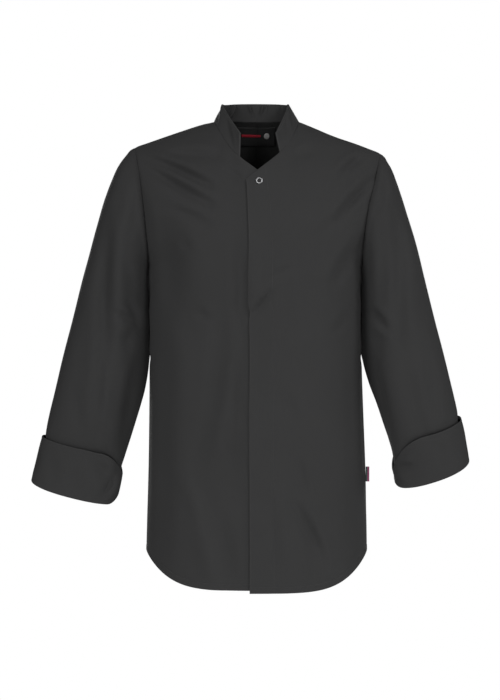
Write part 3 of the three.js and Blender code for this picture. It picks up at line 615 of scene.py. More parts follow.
def shell_mesh(grid, normals, outside, inside, closed=False):
    """Points and faces of a thin wall round a grid, with its rim closed."""
    rows, columns = grid.shape[:2]
    outer = grid + normals * np.broadcast_to(outside, (rows, columns))[..., None]
    inner = grid - normals * np.broadcast_to(inside, (rows, columns))[..., None]
    points = np.concatenate([outer.reshape(-1, 3), inner.reshape(-1, 3)])
    number = np.arange(rows * columns).reshape(rows, columns)
    if closed:
        number = np.concatenate([number, number[:, :1]], axis=1)
    a, b = number[:-1, :-1], number[:-1, 1:]
    c, d = number[1:, 1:], number[1:, :-1]
    below = rows * columns
    faces = [np.stack([a, b, c, d], -1).reshape(-1, 4)]
    faces.append(np.stack([a, d, c, b], -1).reshape(-1, 4) + below)
    rims = [number[0], number[-1][::-1]]
    if not closed:
        rims += [number[::-1, 0], number[:, -1]]
    for rim in rims:
        start, end = rim[:-1], rim[1:]
        faces.append(np.stack([end, start, start + below, end + below], -1))
    faces = np.concatenate(faces)
    corner = points[faces]
    volume = np.einsum("ij,ij->i", corner[:, 0], np.cross(corner[:, 1], corner[:, 2])).sum()
    volume += np.einsum("ij,ij->i", corner[:, 0], np.cross(corner[:, 2], corner[:, 3])).sum()
    return points, faces if volume > 0 else faces[:, ::-1]


def add_object(name, points, faces, materials, cloth_place=None):
    """A smooth object in metres from points in mm, with its place on the cloth where given."""
    mesh = bpy.data.meshes.new(name)
    mesh.from_pydata((np.asarray(points) * MM).tolist(), [], [list(map(int, f)) for f in faces])
    for material in materials:
        mesh.materials.append(material)
    mesh.polygons.foreach_set("use_smooth", np.ones(len(mesh.polygons), bool))
    if cloth_place is not None:
        layer = mesh.attributes.new("cloth_place", "FLOAT_VECTOR", "POINT")
        layer.data.foreach_set("vector", (cloth_place * MM).astype(np.float32).ravel())
    mesh.update()
    piece = bpy.data.objects.new(name, mesh)
    bpy.context.scene.collection.objects.link(piece)
    return piece


def add_cloth(name, grid, material, *, thick, edge, u, v, moved=0.0, closed=False,
              round_edge=None, extra_inside=0.0, seams=(), inside_out=False):
    """A piece of cloth from the grid on the middle of its thickness.

    edge is the distance from its nearest finished edge, round_edge from its nearest rim, u and v
    its place in the weave, and moved how far it stands out from the grid."""
    normals = grid_normals(grid, closed, inside_out)
    for rows, columns in seams:
        flatten_normals(normals, rows, columns)
    grid = grid + normals * np.broadcast_to(moved, grid.shape[:2])[..., None]
    left = rounding(edge if round_edge is None else round_edge)
    outside = left * thick / 2
    inside = left * (thick / 2 + extra_inside)
    points, faces = shell_mesh(grid, normals, outside, inside, closed)
    place = np.stack(np.broadcast_arrays(u, v, edge), axis=-1).reshape(-1, 3)
    piece = add_object(name, points, faces, [material], np.concatenate([place, place]))
    surface = grid + normals * outside[..., None]
    return piece, surface, normals


def line_where(values, at, surface, normals, axis):
    """The points and normals of a surface where a value that grows along an axis reaches at."""
    moved = np.moveaxis(values, axis, 0)
    points, directions = np.moveaxis(surface, axis, 0), np.moveaxis(normals, axis, 0)
    reached = moved >= at
    lines, ways = [], []
    for k in range(moved.shape[1]):
        if not reached[:, k].any() or reached[:, k].all():
            continue
        high = int(np.argmax(reached[:, k]))
        part = (at - moved[high - 1, k]) / (moved[high, k] - moved[high - 1, k])
        lines.append(lerp(points[high - 1, k], points[high, k], part))
        ways.append(lerp(directions[high - 1, k], directions[high, k], part))
    return np.array(lines), np.array(ways)


THREAD_RADIUS = 0.26
THREAD_SINK = 0.08
STITCH_SHARE = 0.74
THREAD_SIDES = 5


def stitch_parts(line, normals, pitch):
    """Points and faces of a row of stitches along a line on the cloth."""
    long = np.concatenate([[0], np.cumsum(np.linalg.norm(np.diff(line, axis=0), axis=1))])
    count = int(long[-1] // pitch)
    starts = (long[-1] - count * pitch) / 2 + pitch * (np.arange(count) + (1 - STITCH_SHARE) / 2)
    points, faces = [], []

    def at(distance, values):
        return np.array([np.interp(distance, long, values[:, k]) for k in range(3)])

    for start in starts:
        ends = [at(start, line), at(start + pitch * STITCH_SHARE, line)]
        up = at(start + pitch / 2, normals)
        up /= np.linalg.norm(up)
        run = ends[1] - ends[0]
        along = run / np.linalg.norm(run)
        aside = np.cross(along, up)
        base = len(points)
        points.append(ends[0] - up * THREAD_SINK)
        for part in (0.16, 0.5, 0.84):
            middle = ends[0] + run * part
            radius = THREAD_RADIUS * (1.0 if part == 0.5 else 0.82)
            lift = THREAD_SINK * (1.6 if part == 0.5 else 0.4)
            for k in range(THREAD_SIDES):
                angle = 2 * math.pi * k / THREAD_SIDES
                offset = aside * math.cos(angle) + up * math.sin(angle)
                points.append(middle + up * lift + offset * radius)
        points.append(ends[1] - up * THREAD_SINK)
        tip = len(points) - 1
        for k in range(THREAD_SIDES):
            n = (k + 1) % THREAD_SIDES
            first, last = base + 1, base + 1 + 2 * THREAD_SIDES
            faces.append((base, first + n, first + k))
            faces.append((tip, last + k, last + n))
            for ring in (first, first + THREAD_SIDES):
                faces.append((ring + k, ring + n, ring + n + THREAD_SIDES, ring + k + THREAD_SIDES))
    return points, faces


def add_stitches(name, rows, settings):
    """One piece with all the rows of stitches that a piece of cloth carries."""
    points, faces = [], []
    for line, normals in rows:
        if len(line) < 2:
            continue
        more_points, more_faces = stitch_parts(line, normals, settings.stitch_pitch / MM)
        faces += [tuple(i + len(points) for i in face) for face in more_faces]
        points += more_points
    piece = add_object(name, np.array(points), faces, [thread_material(settings)])
    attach(piece, "root")
    return piece


def settle(piece, node):
    """Hangs a piece under the root body and hides the part of model.glb that it stands for."""
    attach(piece, "root")
    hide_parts(node)


# Materials


def add_node(tree, kind, values=None, **settings):
    """A shader node, with its settings and the values of its inputs by name or number."""
    made = tree.nodes.new(kind)
    for key, value in settings.items():
        setattr(made, key, value)
    for key, value in (values or {}).items():
        if isinstance(value, bpy.types.NodeSocket):
            tree.links.new(value, made.inputs[key])
        else:
            made.inputs[key].default_value = value
    return made


def math_node(tree, operation, *values):
    return add_node(tree, "ShaderNodeMath", dict(enumerate(values)), operation=operation).outputs[0]


def mix_colour(tree, factor, first, second):
    made = add_node(tree, "ShaderNodeMix", data_type="RGBA")
    for name, value in (("Factor", factor), ("A", first), ("B", second)):
        socket = next(s for s in made.inputs if s.name == name and s.enabled)
        if isinstance(value, bpy.types.NodeSocket):
            tree.links.new(value, socket)
        else:
            socket.default_value = value
    return next(s for s in made.outputs if s.enabled)


def new_group(name, inputs, outputs):
    """An empty shader group with its sockets, and its input and output nodes."""
    group = bpy.data.node_groups.new(name, "ShaderNodeTree")
    for socket, kind, value in inputs:
        made = group.interface.new_socket(name=socket, in_out="INPUT", socket_type=kind)
        if value is not None:
            made.default_value = value
    for socket, kind in outputs:
        group.interface.new_socket(name=socket, in_out="OUTPUT", socket_type=kind)
    return group, group.nodes.new("NodeGroupInput"), group.nodes.new("NodeGroupOutput")


def twill_group():
    """Diagonal twill: the height of its threads, and how much light each one catches."""
    if "Twill weave" in bpy.data.node_groups:
        return bpy.data.node_groups["Twill weave"]
    group, given, out = new_group(
        "Twill weave",
        [("Place", "NodeSocketVector", None), ("Pitch", "NodeSocketFloat", 0.0008)],
        [("Height", "NodeSocketFloat"), ("Catch", "NodeSocketFloat")],
    )
    parts = add_node(group, "ShaderNodeSeparateXYZ", {0: given.outputs["Place"]})
    turn = math_node(group, "DIVIDE", 2 * math.pi, given.outputs["Pitch"])
    both = math_node(group, "ADD", parts.outputs["X"], parts.outputs["Y"])
    ridge = math_node(group, "SINE", math_node(group, "MULTIPLY", both, turn))
    weft = math_node(group, "MULTIPLY", math_node(group, "MULTIPLY", parts.outputs["Y"], turn), 2.0)
    thread = math_node(group, "SINE", weft)
    height = math_node(group, "MULTIPLY_ADD", ridge, 0.34, 0.5)
    height = math_node(group, "MULTIPLY_ADD", thread, 0.14, height)
    group.links.new(height, out.inputs["Height"])
    group.links.new(math_node(group, "MULTIPLY_ADD", ridge, 0.5, 0.5), out.inputs["Catch"])
    return group


def wear_group():
    """Use along the finished edges, and the slow changes of tone of washed cloth."""
    if "Cloth wear" in bpy.data.node_groups:
        return bpy.data.node_groups["Cloth wear"]
    group, given, out = new_group(
        "Cloth wear",
        [
            ("Edge distance", "NodeSocketFloat", 1.0),
            ("Edge width", "NodeSocketFloat", 0.002),
            ("Patch size", "NodeSocketFloat", 9.0),
        ],
        [("Edge", "NodeSocketFloat"), ("Patches", "NodeSocketFloat"), ("Fuzz", "NodeSocketFloat")],
    )
    where = add_node(group, "ShaderNodeTexCoord").outputs["Object"]
    share = math_node(group, "DIVIDE", given.outputs["Edge distance"], given.outputs["Edge width"])
    near = add_node(
        group,
        "ShaderNodeMapRange",
        {"Value": share, "From Min": 0.2, "From Max": 1.0, "To Min": 1.0, "To Max": 0.0},
        interpolation_type="SMOOTHSTEP",
    ).outputs[0]
    broken = add_node(group, "ShaderNodeTexNoise", {"Vector": where, "Scale": 140.0, "Detail": 3.0})
    group.links.new(math_node(group, "MULTIPLY", near, broken.outputs[0]), out.inputs["Edge"])
    size = given.outputs["Patch size"]
    patches = add_node(group, "ShaderNodeTexNoise", {"Vector": where, "Scale": size, "Detail": 4.0})
    group.links.new(patches.outputs[0], out.inputs["Patches"])
    fuzz = add_node(group, "ShaderNodeTexNoise", {"Vector": where, "Scale": 900.0, "Detail": 2.0})
    group.links.new(fuzz.outputs[0], out.inputs["Fuzz"])
    return group


def shade(colour, factor):
    return tuple(min(1.0, c * factor) for c in colour[:3]) + (1.0,)


def woven_material(name, colour, *, pitch, bump, roughness, sheen, specular, wear=0.16):
    """Cloth with a twill weave whose ribs carry a painted highlight, slight changes of tone and paler
    worn edges.
    """
    if name in bpy.data.materials:
        return bpy.data.materials[name]
    material = bpy.data.materials.new(name)
    material.use_nodes = True
    tree = material.node_tree
    shader = next(n for n in tree.nodes if n.type == "BSDF_PRINCIPLED")
    place = add_node(tree, "ShaderNodeAttribute", attribute_name="cloth_place").outputs["Vector"]
    edge = add_node(tree, "ShaderNodeSeparateXYZ", {0: place}).outputs["Z"]
    twill = add_node(tree, "ShaderNodeGroup", node_tree=twill_group())
    tree.links.new(place, twill.inputs["Place"])
    twill.inputs["Pitch"].default_value = pitch
    wearing = add_node(tree, "ShaderNodeGroup", node_tree=wear_group())
    tree.links.new(edge, wearing.inputs["Edge distance"])
    # Painted highlight and shade: the crest of each twill rib is painted lighter and its hollow darker,
    # after the light that each thread catches.
    threads = mix_colour(tree, twill.outputs["Catch"], shade(colour, 0.86), shade(colour, 1.12))
    patched = add_node(
        tree,
        "ShaderNodeMapRange",
        {"Value": wearing.outputs["Patches"], "From Min": 0.3, "From Max": 0.7,
         "To Min": 0.0, "To Max": 0.22},
    ).outputs[0]
    toned = mix_colour(tree, patched, threads, shade(colour, 1.3))
    worn = math_node(tree, "MULTIPLY", wearing.outputs["Edge"], wear * 2)
    final = mix_colour(tree, worn, toned, shade(colour, 2.2))
    tree.links.new(final, shader.inputs["Base Color"])
    rough = math_node(tree, "MULTIPLY_ADD", wearing.outputs["Fuzz"], 0.16, roughness - 0.08)
    tree.links.new(rough, shader.inputs["Roughness"])
    height = math_node(tree, "MULTIPLY_ADD", wearing.outputs["Fuzz"], 0.3, twill.outputs["Height"])
    bumped = add_node(tree, "ShaderNodeBump", {"Height": height, "Strength": 0.55, "Distance": bump})
    tree.links.new(bumped.outputs[0], shader.inputs["Normal"])
    shader.inputs["Specular IOR Level"].default_value = specular
    shader.inputs["Sheen Weight"].default_value = sheen
    shader.inputs["Sheen Roughness"].default_value = 0.55
    shader.inputs["Sheen Tint"].default_value = (1.0, 1.0, 1.0, 1.0)
    return material


def cloth_material(settings):
    return woven_material(
        "jacket_twill",
        settings.cloth_colour,
        pitch=settings.weave_pitch,
        bump=0.00012,
        roughness=0.86,
        sheen=0.03,
        specular=0.14,
    )


def thread_material(settings):
    """Sewing thread: two plies that wind round each other."""
    if "sewing_thread" in bpy.data.materials:
        return bpy.data.materials["sewing_thread"]
    material = bpy.data.materials.new("sewing_thread")
    material.use_nodes = True
    tree = material.node_tree
    shader = next(n for n in tree.nodes if n.type == "BSDF_PRINCIPLED")
    where = add_node(tree, "ShaderNodeTexCoord").outputs["Object"]
    plies = add_node(
        tree,
        "ShaderNodeTexWave",
        {"Vector": where, "Scale": 420.0, "Distortion": 2.0, "Detail": 2.0},
        bands_direction="DIAGONAL",
    )
    colour = settings.thread_colour
    tone = mix_colour(tree, plies.outputs["Fac"], shade(colour, 0.75), shade(colour, 1.25))
    tree.links.new(tone, shader.inputs["Base Color"])
    rough = math_node(tree, "MULTIPLY_ADD", plies.outputs["Fac"], 0.2, 0.5)
    tree.links.new(rough, shader.inputs["Roughness"])
    bumped = add_node(
        tree, "ShaderNodeBump", {"Height": plies.outputs["Fac"], "Strength": 0.5, "Distance": 0.0001}
    )
    tree.links.new(bumped.outputs[0], shader.inputs["Normal"])
    shader.inputs["Sheen Weight"].default_value = 0.1
    return material


def metal_material(settings):
    """Nickel-plated brass, pressed: fine scratches and slightly dull patches."""
    material = bpy.data.materials.new("nickel_plate")
    material.use_nodes = True
    tree = material.node_tree
    shader = next(n for n in tree.nodes if n.type == "BSDF_PRINCIPLED")
    where = add_node(tree, "ShaderNodeTexCoord").outputs["Object"]
    scratches = add_node(
        tree, "ShaderNodeTexNoise", {"Vector": where, "Scale": 2600.0, "Detail": 3.0}
    ).outputs[0]
    dull = add_node(tree, "ShaderNodeTexNoise", {"Vector": where, "Scale": 420.0}).outputs[0]
    colour = settings.metal_colour
    tree.links.new(
        mix_colour(tree, dull, shade(colour, 0.9), shade(colour, 1.06)), shader.inputs["Base Color"]
    )
    rough = math_node(tree, "MULTIPLY_ADD", dull, 0.2, 0.3)
    tree.links.new(rough, shader.inputs["Roughness"])
    bumped = add_node(
        tree, "ShaderNodeBump", {"Height": scratches, "Strength": 0.25, "Distance": 0.00003}
    )
    tree.links.new(bumped.outputs[0], shader.inputs["Normal"])
    shader.inputs["Metallic"].default_value = 1.0
    return material


# The sizes and colours that a user would change


class JacketCloth(bpy.types.PropertyGroup):
    """Cloth and sewing of the jacket."""

    cloth_colour: bpy.props.FloatVectorProperty(
        name="Cloth", description="Colour of the dark twill", subtype="COLOR", size=3,
        default=(0.036, 0.036, 0.0363), min=0, max=1,
    )
    thread_colour: bpy.props.FloatVectorProperty(
        name="Thread", description="Colour of the sewing thread", subtype="COLOR", size=3,
        default=(0.037, 0.037, 0.0373), min=0, max=1,
    )
    thickness: bpy.props.FloatProperty(
        name="Thickness", description="Thickness of the cloth as sewn", unit="LENGTH",
        default=0.0012, min=0.0005, max=0.003,
    )
    weave_pitch: bpy.props.FloatProperty(
        name="Weave pitch", description="Distance between the ribs of the twill", unit="LENGTH",
        default=0.0009, min=0.0003, max=0.004,
    )
    stitch_pitch: bpy.props.FloatProperty(
        name="Stitch length", description="Length of one stitch", unit="LENGTH",
        default=0.0032, min=0.002, max=0.006,
    )
    hem_width: bpy.props.FloatProperty(
        name="Hem width", description="Distance of the hem's stitches from its edge",
        unit="LENGTH", default=0.010, min=0.006, max=0.015,
    )
    closing_width: bpy.props.FloatProperty(
        name="Closing width", description="Distance of the closing's stitches from the front edge",
        unit="LENGTH", default=0.039, min=0.03, max=0.045,
    )


class JacketTrim(bpy.types.PropertyGroup):
    """Snap, neck label and side tab."""

    metal_colour: bpy.props.FloatVectorProperty(
        name="Metal", description="Colour of the ring snap", subtype="COLOR", size=3,
        default=(0.6, 0.6, 0.61), min=0, max=1,
    )
    snap_width: bpy.props.FloatProperty(
        name="Snap width", description="Outer diameter of the ring", unit="LENGTH",
        default=0.0106, min=0.008, max=0.014,
    )
    label_colour: bpy.props.FloatVectorProperty(
        name="Label", description="Ground of the neck label", subtype="COLOR", size=3,
        default=(0.024, 0.024, 0.0245), min=0, max=1,
    )
    bar_colour: bpy.props.FloatVectorProperty(
        name="Label bar", description="Plain bar woven into the label", subtype="COLOR", size=3,
        default=(0.48, 0.016, 0.036), min=0, max=1,
    )
    dot_colour: bpy.props.FloatVectorProperty(
        name="Label dot", description="Plain dot woven into the label", subtype="COLOR", size=3,
        default=(0.62, 0.61, 0.6), min=0, max=1,
    )
    tab_inner_colour: bpy.props.FloatVectorProperty(
        name="Tab inner band", description="Band of the side tab beside the seam",
        subtype="COLOR", size=3, default=(0.06, 0.105, 0.095), min=0, max=1,
    )
    tab_outer_colour: bpy.props.FloatVectorProperty(
        name="Tab outer band", description="Band of the side tab at its fold",
        subtype="COLOR", size=3, default=(0.34, 0.08, 0.17), min=0, max=1,
    )


class JacketStage(bpy.types.PropertyGroup):
    """Floor, light and camera."""

    floor_level: bpy.props.FloatProperty(
        name="Floor", description="Height of the floor under the neck opening", unit="LENGTH",
        default=-1.15, min=-2.0, max=-0.8,
    )
    surround: bpy.props.FloatProperty(
        name="Surround", description="Strength of the even light from all sides",
        default=0.04, min=0.0, max=3.0,
    )
    light_power: bpy.props.FloatProperty(
        name="Lights", description="Power of the studio lights, in watts",
        default=82.0, min=0.0, max=500.0,
    )


class JacketSettings(bpy.types.PropertyGroup):
    """Everything that can be changed."""

    cloth: bpy.props.PointerProperty(type=JacketCloth, name="Cloth", description="Cloth and sewing")
    trim: bpy.props.PointerProperty(type=JacketTrim, name="Trim", description="Snap, label and tab")
    stage: bpy.props.PointerProperty(type=JacketStage, name="Stage", description="Floor and light")


# The pieces


def top_rises(point_at, side, neckline, columns):
    """The highest rise of each column that ends at the neckline."""
    low, high = np.zeros(columns), np.ones(columns)
    for _ in range(40):
        middle = (low + high) / 2
        points = point_at(middle)
        above = points[:, 2] > read(neckline, points[:, 0] * side, "level")
        high = np.where(above, middle, high)
        low = np.where(above, low, middle)
    return (low + high) / 2


def body_grid(face, side, inner_out, hem, neckline, band=0.0, stitched=()):
    """One half of a body piece as rows of points, from its inner edge to the side.

    inner_out gives the place of the inner edge at a rise. band is the width in mm of a strip
    along that edge whose columns follow it, and stitched its extra lines."""
    bands = places(band, starts=EDGE_LINES, ends=stitched)[:-1] * band if band else np.zeros(0)
    strip_end = np.array(band)

    def turns(rise, parts):
        outer = body_ring(face, side, rise)[0]
        end = turn_at(face, side, inner_out(rise) + strip_end, rise)
        return lerp(end, outer, parts)

    corner_turn = turn_at(face, side, NECK_HALF_WIDTH, 1.0)
    end_turn, side_turn = turns(1.0, 0.0), turns(1.0, 1.0)
    corner = float((corner_turn - end_turn) / (side_turn - end_turn))
    neck = places(corner * 250, ends=())[:-1] * corner
    if band:
        neck = np.concatenate([[0], neck[neck > 4 / 250]])
    sides = corner + (1 - corner) * places((1 - corner) * 250, starts=())
    parts = np.concatenate([neck, sides])
    count = len(bands) + len(parts)
    to_neck = len(bands) + len(neck)

    def point_at(rise):
        rise = np.broadcast_to(rise, np.broadcast(rise, np.zeros(count)).shape)
        strip_rise, rest_rise = rise[..., : len(bands)], rise[..., len(bands) :]
        strip = turn_at(face, side, inner_out(strip_rise) + bands, strip_rise)
        return body_point(
            face, side, np.concatenate([strip, turns(rest_rise, parts)], axis=-1), rise, hem
        )

    tops = np.where(np.arange(count) < to_neck, top_rises(point_at, side, neckline, count), 1.0)
    hem_points = point_at(np.full(count, -1.0))
    run = np.gradient(hem_points, axis=0)
    slope = np.linalg.norm(run, axis=1) / np.maximum(np.linalg.norm(run[:, :2], axis=1), 1e-6)
    heights = UNDERARM - hem_points[:, 2]
    hem_lines = EDGE_LINES + (4.0, 6.5, 8.2, 9.1, 10.0, 10.9, 11.8, 13.6)
    tall = -(SIDE_HEM - UNDERARM)
    from_hem = places(tall, starts=hem_lines, ends=())[:, None] * tall
    straight = from_hem * np.minimum(slope, 4.0)
    up = lerp(straight, from_hem / tall * heights, smooth_step(from_hem, 20, 160))
    low_rises = -1 + up / heights
    high = places(240, starts=(), ends=EDGE_LINES)[1:, None]
    high = 0.6 * high + 0.4 * (1 - np.cos(np.pi * high)) / 2
    rises = np.concatenate([low_rises, high * tops])
    return point_at(rises), rises


def body_distances(grid, rises):
    """Distances of a body piece's points from its hem, top, inner edge and side."""
    up, across = arc(grid, 0), arc(grid, 1)
    run = np.gradient(grid[0], axis=0)
    slope = np.linalg.norm(run[:, :2], axis=1) / np.maximum(np.linalg.norm(run, axis=1), 1e-6)
    return up * np.maximum(slope, 0.25), from_end(up, 0), across, from_end(across, 1)


def seam_places(grid, rises):
    """Grid places on the side seam and on the shoulder seam."""
    side_rows = np.nonzero(rises[:, -1] <= 0)[0]
    shoulder = np.nonzero(np.abs(grid[-1, :, 1]) < 1)[0]
    last_row = np.full(len(shoulder), len(grid) - 1)
    return side_rows, (last_row, shoulder)


def front_lap(grid, side):
    """How far the upper front stands out to lie over the other, most at its own edge."""
    lap = LAP * (1 - smooth_step(grid[..., 0] * side, LAP_FLAT_TO, LAP_GONE_AT))
    return lap + EDGE_STANDS_OFF * np.exp(-arc(grid, 1) / 9)


def build_front(name, settings):
    side = -1 if name == "right" else 1
    edge = FRONT_EDGES[name]
    hem = HEMS[name]

    def inner_out(rise):
        rise = np.asarray(rise, float)
        end = np.where(rise <= 0, hem, SHOULDER_LINE[name][0])
        return read(edge, lerp(UNDERARM, end, np.abs(rise)), "out")

    closing = settings.closing_width / MM if name == "left" else 0.0
    stitched = (2.4, 1.2, 0.6)
    grid, rises = body_grid(-1, side, inner_out, hem, NECKLINES[name], closing, stitched)
    if name == "left":
        grid = grid + grid_normals(grid) * front_lap(grid, side)[..., None]
    from_hem, from_top, from_edge, from_side = body_distances(grid, rises)
    hem_at = settings.hem_width / MM
    moved = groove(from_hem, hem_at, 0.35) + seam_roll(from_side)
    moved += 0.25 * smooth_step(hem_at - from_hem, 0, 2)
    is_shoulder = grid[..., 0] * side > NECK_HALF_WIDTH
    moved += np.where(is_shoulder, seam_roll(from_top, 0.5), seam_roll(from_top, 0.4, 0.0))
    layers = 0.7 * smooth_step(hem_at - from_hem, -1, 1)
    if closing:
        moved += groove(from_edge, closing, 0.22)
        moved += 0.2 * smooth_step(closing - from_edge, 0, 3)
        layers = np.maximum(layers, 0.8 * smooth_step(closing - from_edge, -1, 1))
    rim = np.minimum.reduce([from_hem, from_top, from_edge, from_side])
    edge_distance = np.minimum.reduce([from_hem, from_edge, from_top + 60 * is_shoulder])
    side_rows, shoulder = seam_places(grid, rises)
    last_column = np.full(len(side_rows), grid.shape[1] - 1)
    piece, surface, normals = add_cloth(
        f"jacket_front_{name}", grid, cloth_material(settings), thick=settings.thickness / MM,
        edge=edge_distance, round_edge=rim, u=grid[..., 0] * 0 + arc(grid, 1), v=grid[..., 2],
        moved=moved, extra_inside=layers, seams=[(side_rows, last_column), shoulder],
    )
    settle(piece, f"front_{name}")
    rows = [line_where(from_hem, hem_at, surface, normals, 0)]
    if closing:
        rows.append(line_where(from_edge[:-3], closing, surface[:-3], normals[:-3], 1))
    return piece, add_stitches(f"stitches_front_{name}", rows, settings)


def build_back(settings):
    halves = [
        body_grid(1, side, lambda rise: np.asarray(rise) * 0.0, HEMS["back"], NECKLINES["back"])
        for side in (-1, 1)
    ]
    grid = np.concatenate([halves[0][0][:, :0:-1], halves[1][0]], axis=1)
    rises = np.concatenate([halves[0][1][:, :0:-1], halves[1][1]], axis=1)
    from_hem, from_top, from_right, from_left = body_distances(grid, rises)
    hem_at = settings.hem_width / MM
    moved = groove(from_hem, hem_at, 0.35) + 0.25 * smooth_step(hem_at - from_hem, 0, 2)
    moved += seam_roll(from_left) + seam_roll(from_right)
    is_shoulder = np.abs(grid[..., 0]) > NECK_HALF_WIDTH
    moved += np.where(is_shoulder, seam_roll(from_top, 0.5), seam_roll(from_top, 0.4, 0.0))
    side_rows, shoulder = seam_places(grid, rises)
    ends = [np.full(len(side_rows), c) for c in (0, grid.shape[1] - 1)]
    piece, surface, normals = add_cloth(
        "jacket_back", grid, cloth_material(settings), thick=settings.thickness / MM,
        edge=np.minimum(from_hem, from_top + 60 * is_shoulder),
        round_edge=np.minimum.reduce([from_hem, from_top, from_right, from_left]),
        u=arc(grid, 1), v=grid[..., 2], moved=moved,
        extra_inside=0.7 * smooth_step(hem_at - from_hem, -1, 1),
        seams=[(side_rows, ends[0]), (side_rows, ends[1]), shoulder],
    )
    settle(piece, "back")
    rows = [line_where(from_hem, hem_at, surface, normals, 0)]
    return piece, add_stitches("stitches_back", rows, settings)


def armhole_point(side, angle):
    """The armhole seam, where angle goes from the shoulder, 0, by the front to the underarm, 180."""
    angle = np.mod(angle, 360)
    rise = (1 + np.cos(np.radians(angle))) / 2
    front = body_point(-1, side, body_ring(-1, side, rise)[0], rise, SIDE_HEM)
    back = body_point(1, side, body_ring(1, side, rise)[0], rise, SIDE_HEM)
    point = np.where((angle < 180)[..., None], front, back)
    flat = np.minimum(np.abs(np.sin(np.radians(angle))) * 12, 1)
    point[..., 1] = point[..., 1] * flat
    point[..., 0] += side * SLEEVE_CLEARANCE
    return point


def sleeve_ring_point(name, side, ring, angle):
    rows = SLEEVES[name]
    across = signed_power(np.cos(np.radians(angle)), SLEEVE_ROUNDNESS)
    ahead = signed_power(np.sin(np.radians(angle)), SLEEVE_ROUNDNESS)
    clearance = SLEEVE_CLEARANCE * np.maximum(1 - ring, 0)
    part = (1 + across) / 2
    out = lerp(read(rows, ring, "inner"), read(rows, ring, "outer"), part) + clearance
    level = lerp(read(rows, ring, "inner_level"), read(rows, ring, "outer_level"), part)
    level = level - read(rows, ring, "dip") * ahead
    y = read(rows, ring, "middle") - read(rows, ring, "deep") * ahead
    return np.stack([side * out, y, level], axis=-1)


def sleeve_point(side, ring, angle):
    """Points on the middle of a sleeve's cloth, with its creases."""
    name = side_name(side)
    ring, angle = np.broadcast_arrays(np.asarray(ring, float), np.asarray(angle, float))
    point = sleeve_ring_point(name, side, ring, angle)
    middle = (sleeve_ring_point(name, side, ring, 0 * angle)
              + sleeve_ring_point(name, side, ring, 0 * angle + 180)) / 2
    outward = point - middle
    girth = np.linalg.norm(outward, axis=-1)
    outward = outward / girth[..., None]
    moved = np.zeros(ring.shape)
    round_mm = np.radians(1) * girth
    along = ring * RING_LENGTH
    for from_ring, from_angle, to_ring, to_angle, reach, depth, bow, lip in SLEEVE_CREASES[name]:
        centre = (from_angle + to_angle) / 2
        apart = (np.mod(angle - centre + 180, 360) - 180) * round_mm
        half = (to_angle - from_angle) / 2
        usual = np.radians(half) * 62
        crease = (-usual, from_ring * RING_LENGTH, usual, to_ring * RING_LENGTH)
        moved += crease_sum(apart, along, [crease + (reach, depth, bow, lip)])
    ahead = np.maximum(np.sin(np.radians(angle)), 0) ** 0.7
    shown = SLEEVE_FRONT_CREASES[name]
    moved += crease_sum(point[..., 0], point[..., 2], shown) * ahead
    loose = smooth_step(ring, 0.3, 2.0)
    moved = moved * loose + slack(80 * np.sin(np.radians(angle)) + 40, along) * loose
    point = point + outward * moved[..., None]
    misfit = armhole_point(side, angle) - sleeve_ring_point(name, side, 0 * ring, angle)
    return point + misfit * read(FIT_TO_ARMHOLE, ring, "fit")[..., None]


def corner_shape(angle, start):
    """A round corner: 0 up to its start and 1 on the slit, along a quarter ellipse."""
    across = -signed_power(np.cos(np.radians(angle)), SLEEVE_ROUNDNESS)
    part = np.clip((across - start) / (1 - start), 0, 1)
    return 1 - np.sqrt(1 - part * part)


def free_edge_ring(name, angle):
    """The ring that the cuff's free edge reaches, which drops towards the slit."""
    cuff = CUFFS[name]
    drop = cuff["corner_drop"] * corner_shape(angle, cuff["corner"])
    return LAST_RING - CUFF_RINGS * (1 - drop)


def cuff_trough(name, ring, angle):
    """How far the turned-back cuff presses the sleeve in, under it and just above its edge."""
    above = (free_edge_ring(name, angle) - ring) * CUFF_RING_LENGTH
    near = np.exp(-(((np.mod(angle, 360) - CUFFS[name]["press_at"]) / 62) ** 2))
    press = 0.45 + 0.55 * near
    sharp = 3.6 * np.exp(-np.maximum(above, 0) / 2.4)
    soft = 1.8 * (1 - smooth_step(above, 0, 15))
    under = 1 - smooth_step(-above, 8, 42)
    return -(sharp + soft) * press * np.where(above < 0, under, 1)


def build_sleeve(side, settings):
    name = side_name(side)
    columns = 148
    angles = np.arange(columns) * 360 / columns
    end = LAST_RING - CUFFS[name]["lip"]
    rings = places(end * RING_LENGTH, starts=(0.6, 1.6, 3.0, 5.0, 8.0)) * end
    grid = sleeve_point(side, rings[:, None], angles[None, :])
    moved = seam_roll(arc(grid, 0), 0.9, 0.9) + cuff_trough(name, rings[:, None], angles)
    grid = grid + grid_normals(grid, closed=True) * moved[..., None]
    head = grid[0]
    inward = head.mean(axis=0) - head
    inward /= np.linalg.norm(inward, axis=-1, keepdims=True)
    tuck = [head + inward * deep - np.array([side * over, 0, 0]) for deep, over in SLEEVE_TUCK]
    grid = np.concatenate([np.array(tuck), grid])
    from_seam = arc(grid, 0)
    from_cuff = from_end(from_seam, 0)
    around = arc(np.concatenate([grid, grid[:, :1]], axis=1), 1)[:, :-1]
    piece, _, _ = add_cloth(
        f"jacket_sleeve_{name}", grid, cloth_material(settings), thick=settings.thickness / MM,
        edge=np.full(grid.shape[:2], 60.0), round_edge=np.minimum(from_seam, from_cuff),
        u=around, v=-from_seam, closed=True,
    )
    settle(piece, f"sleeve_{name}")
    return piece


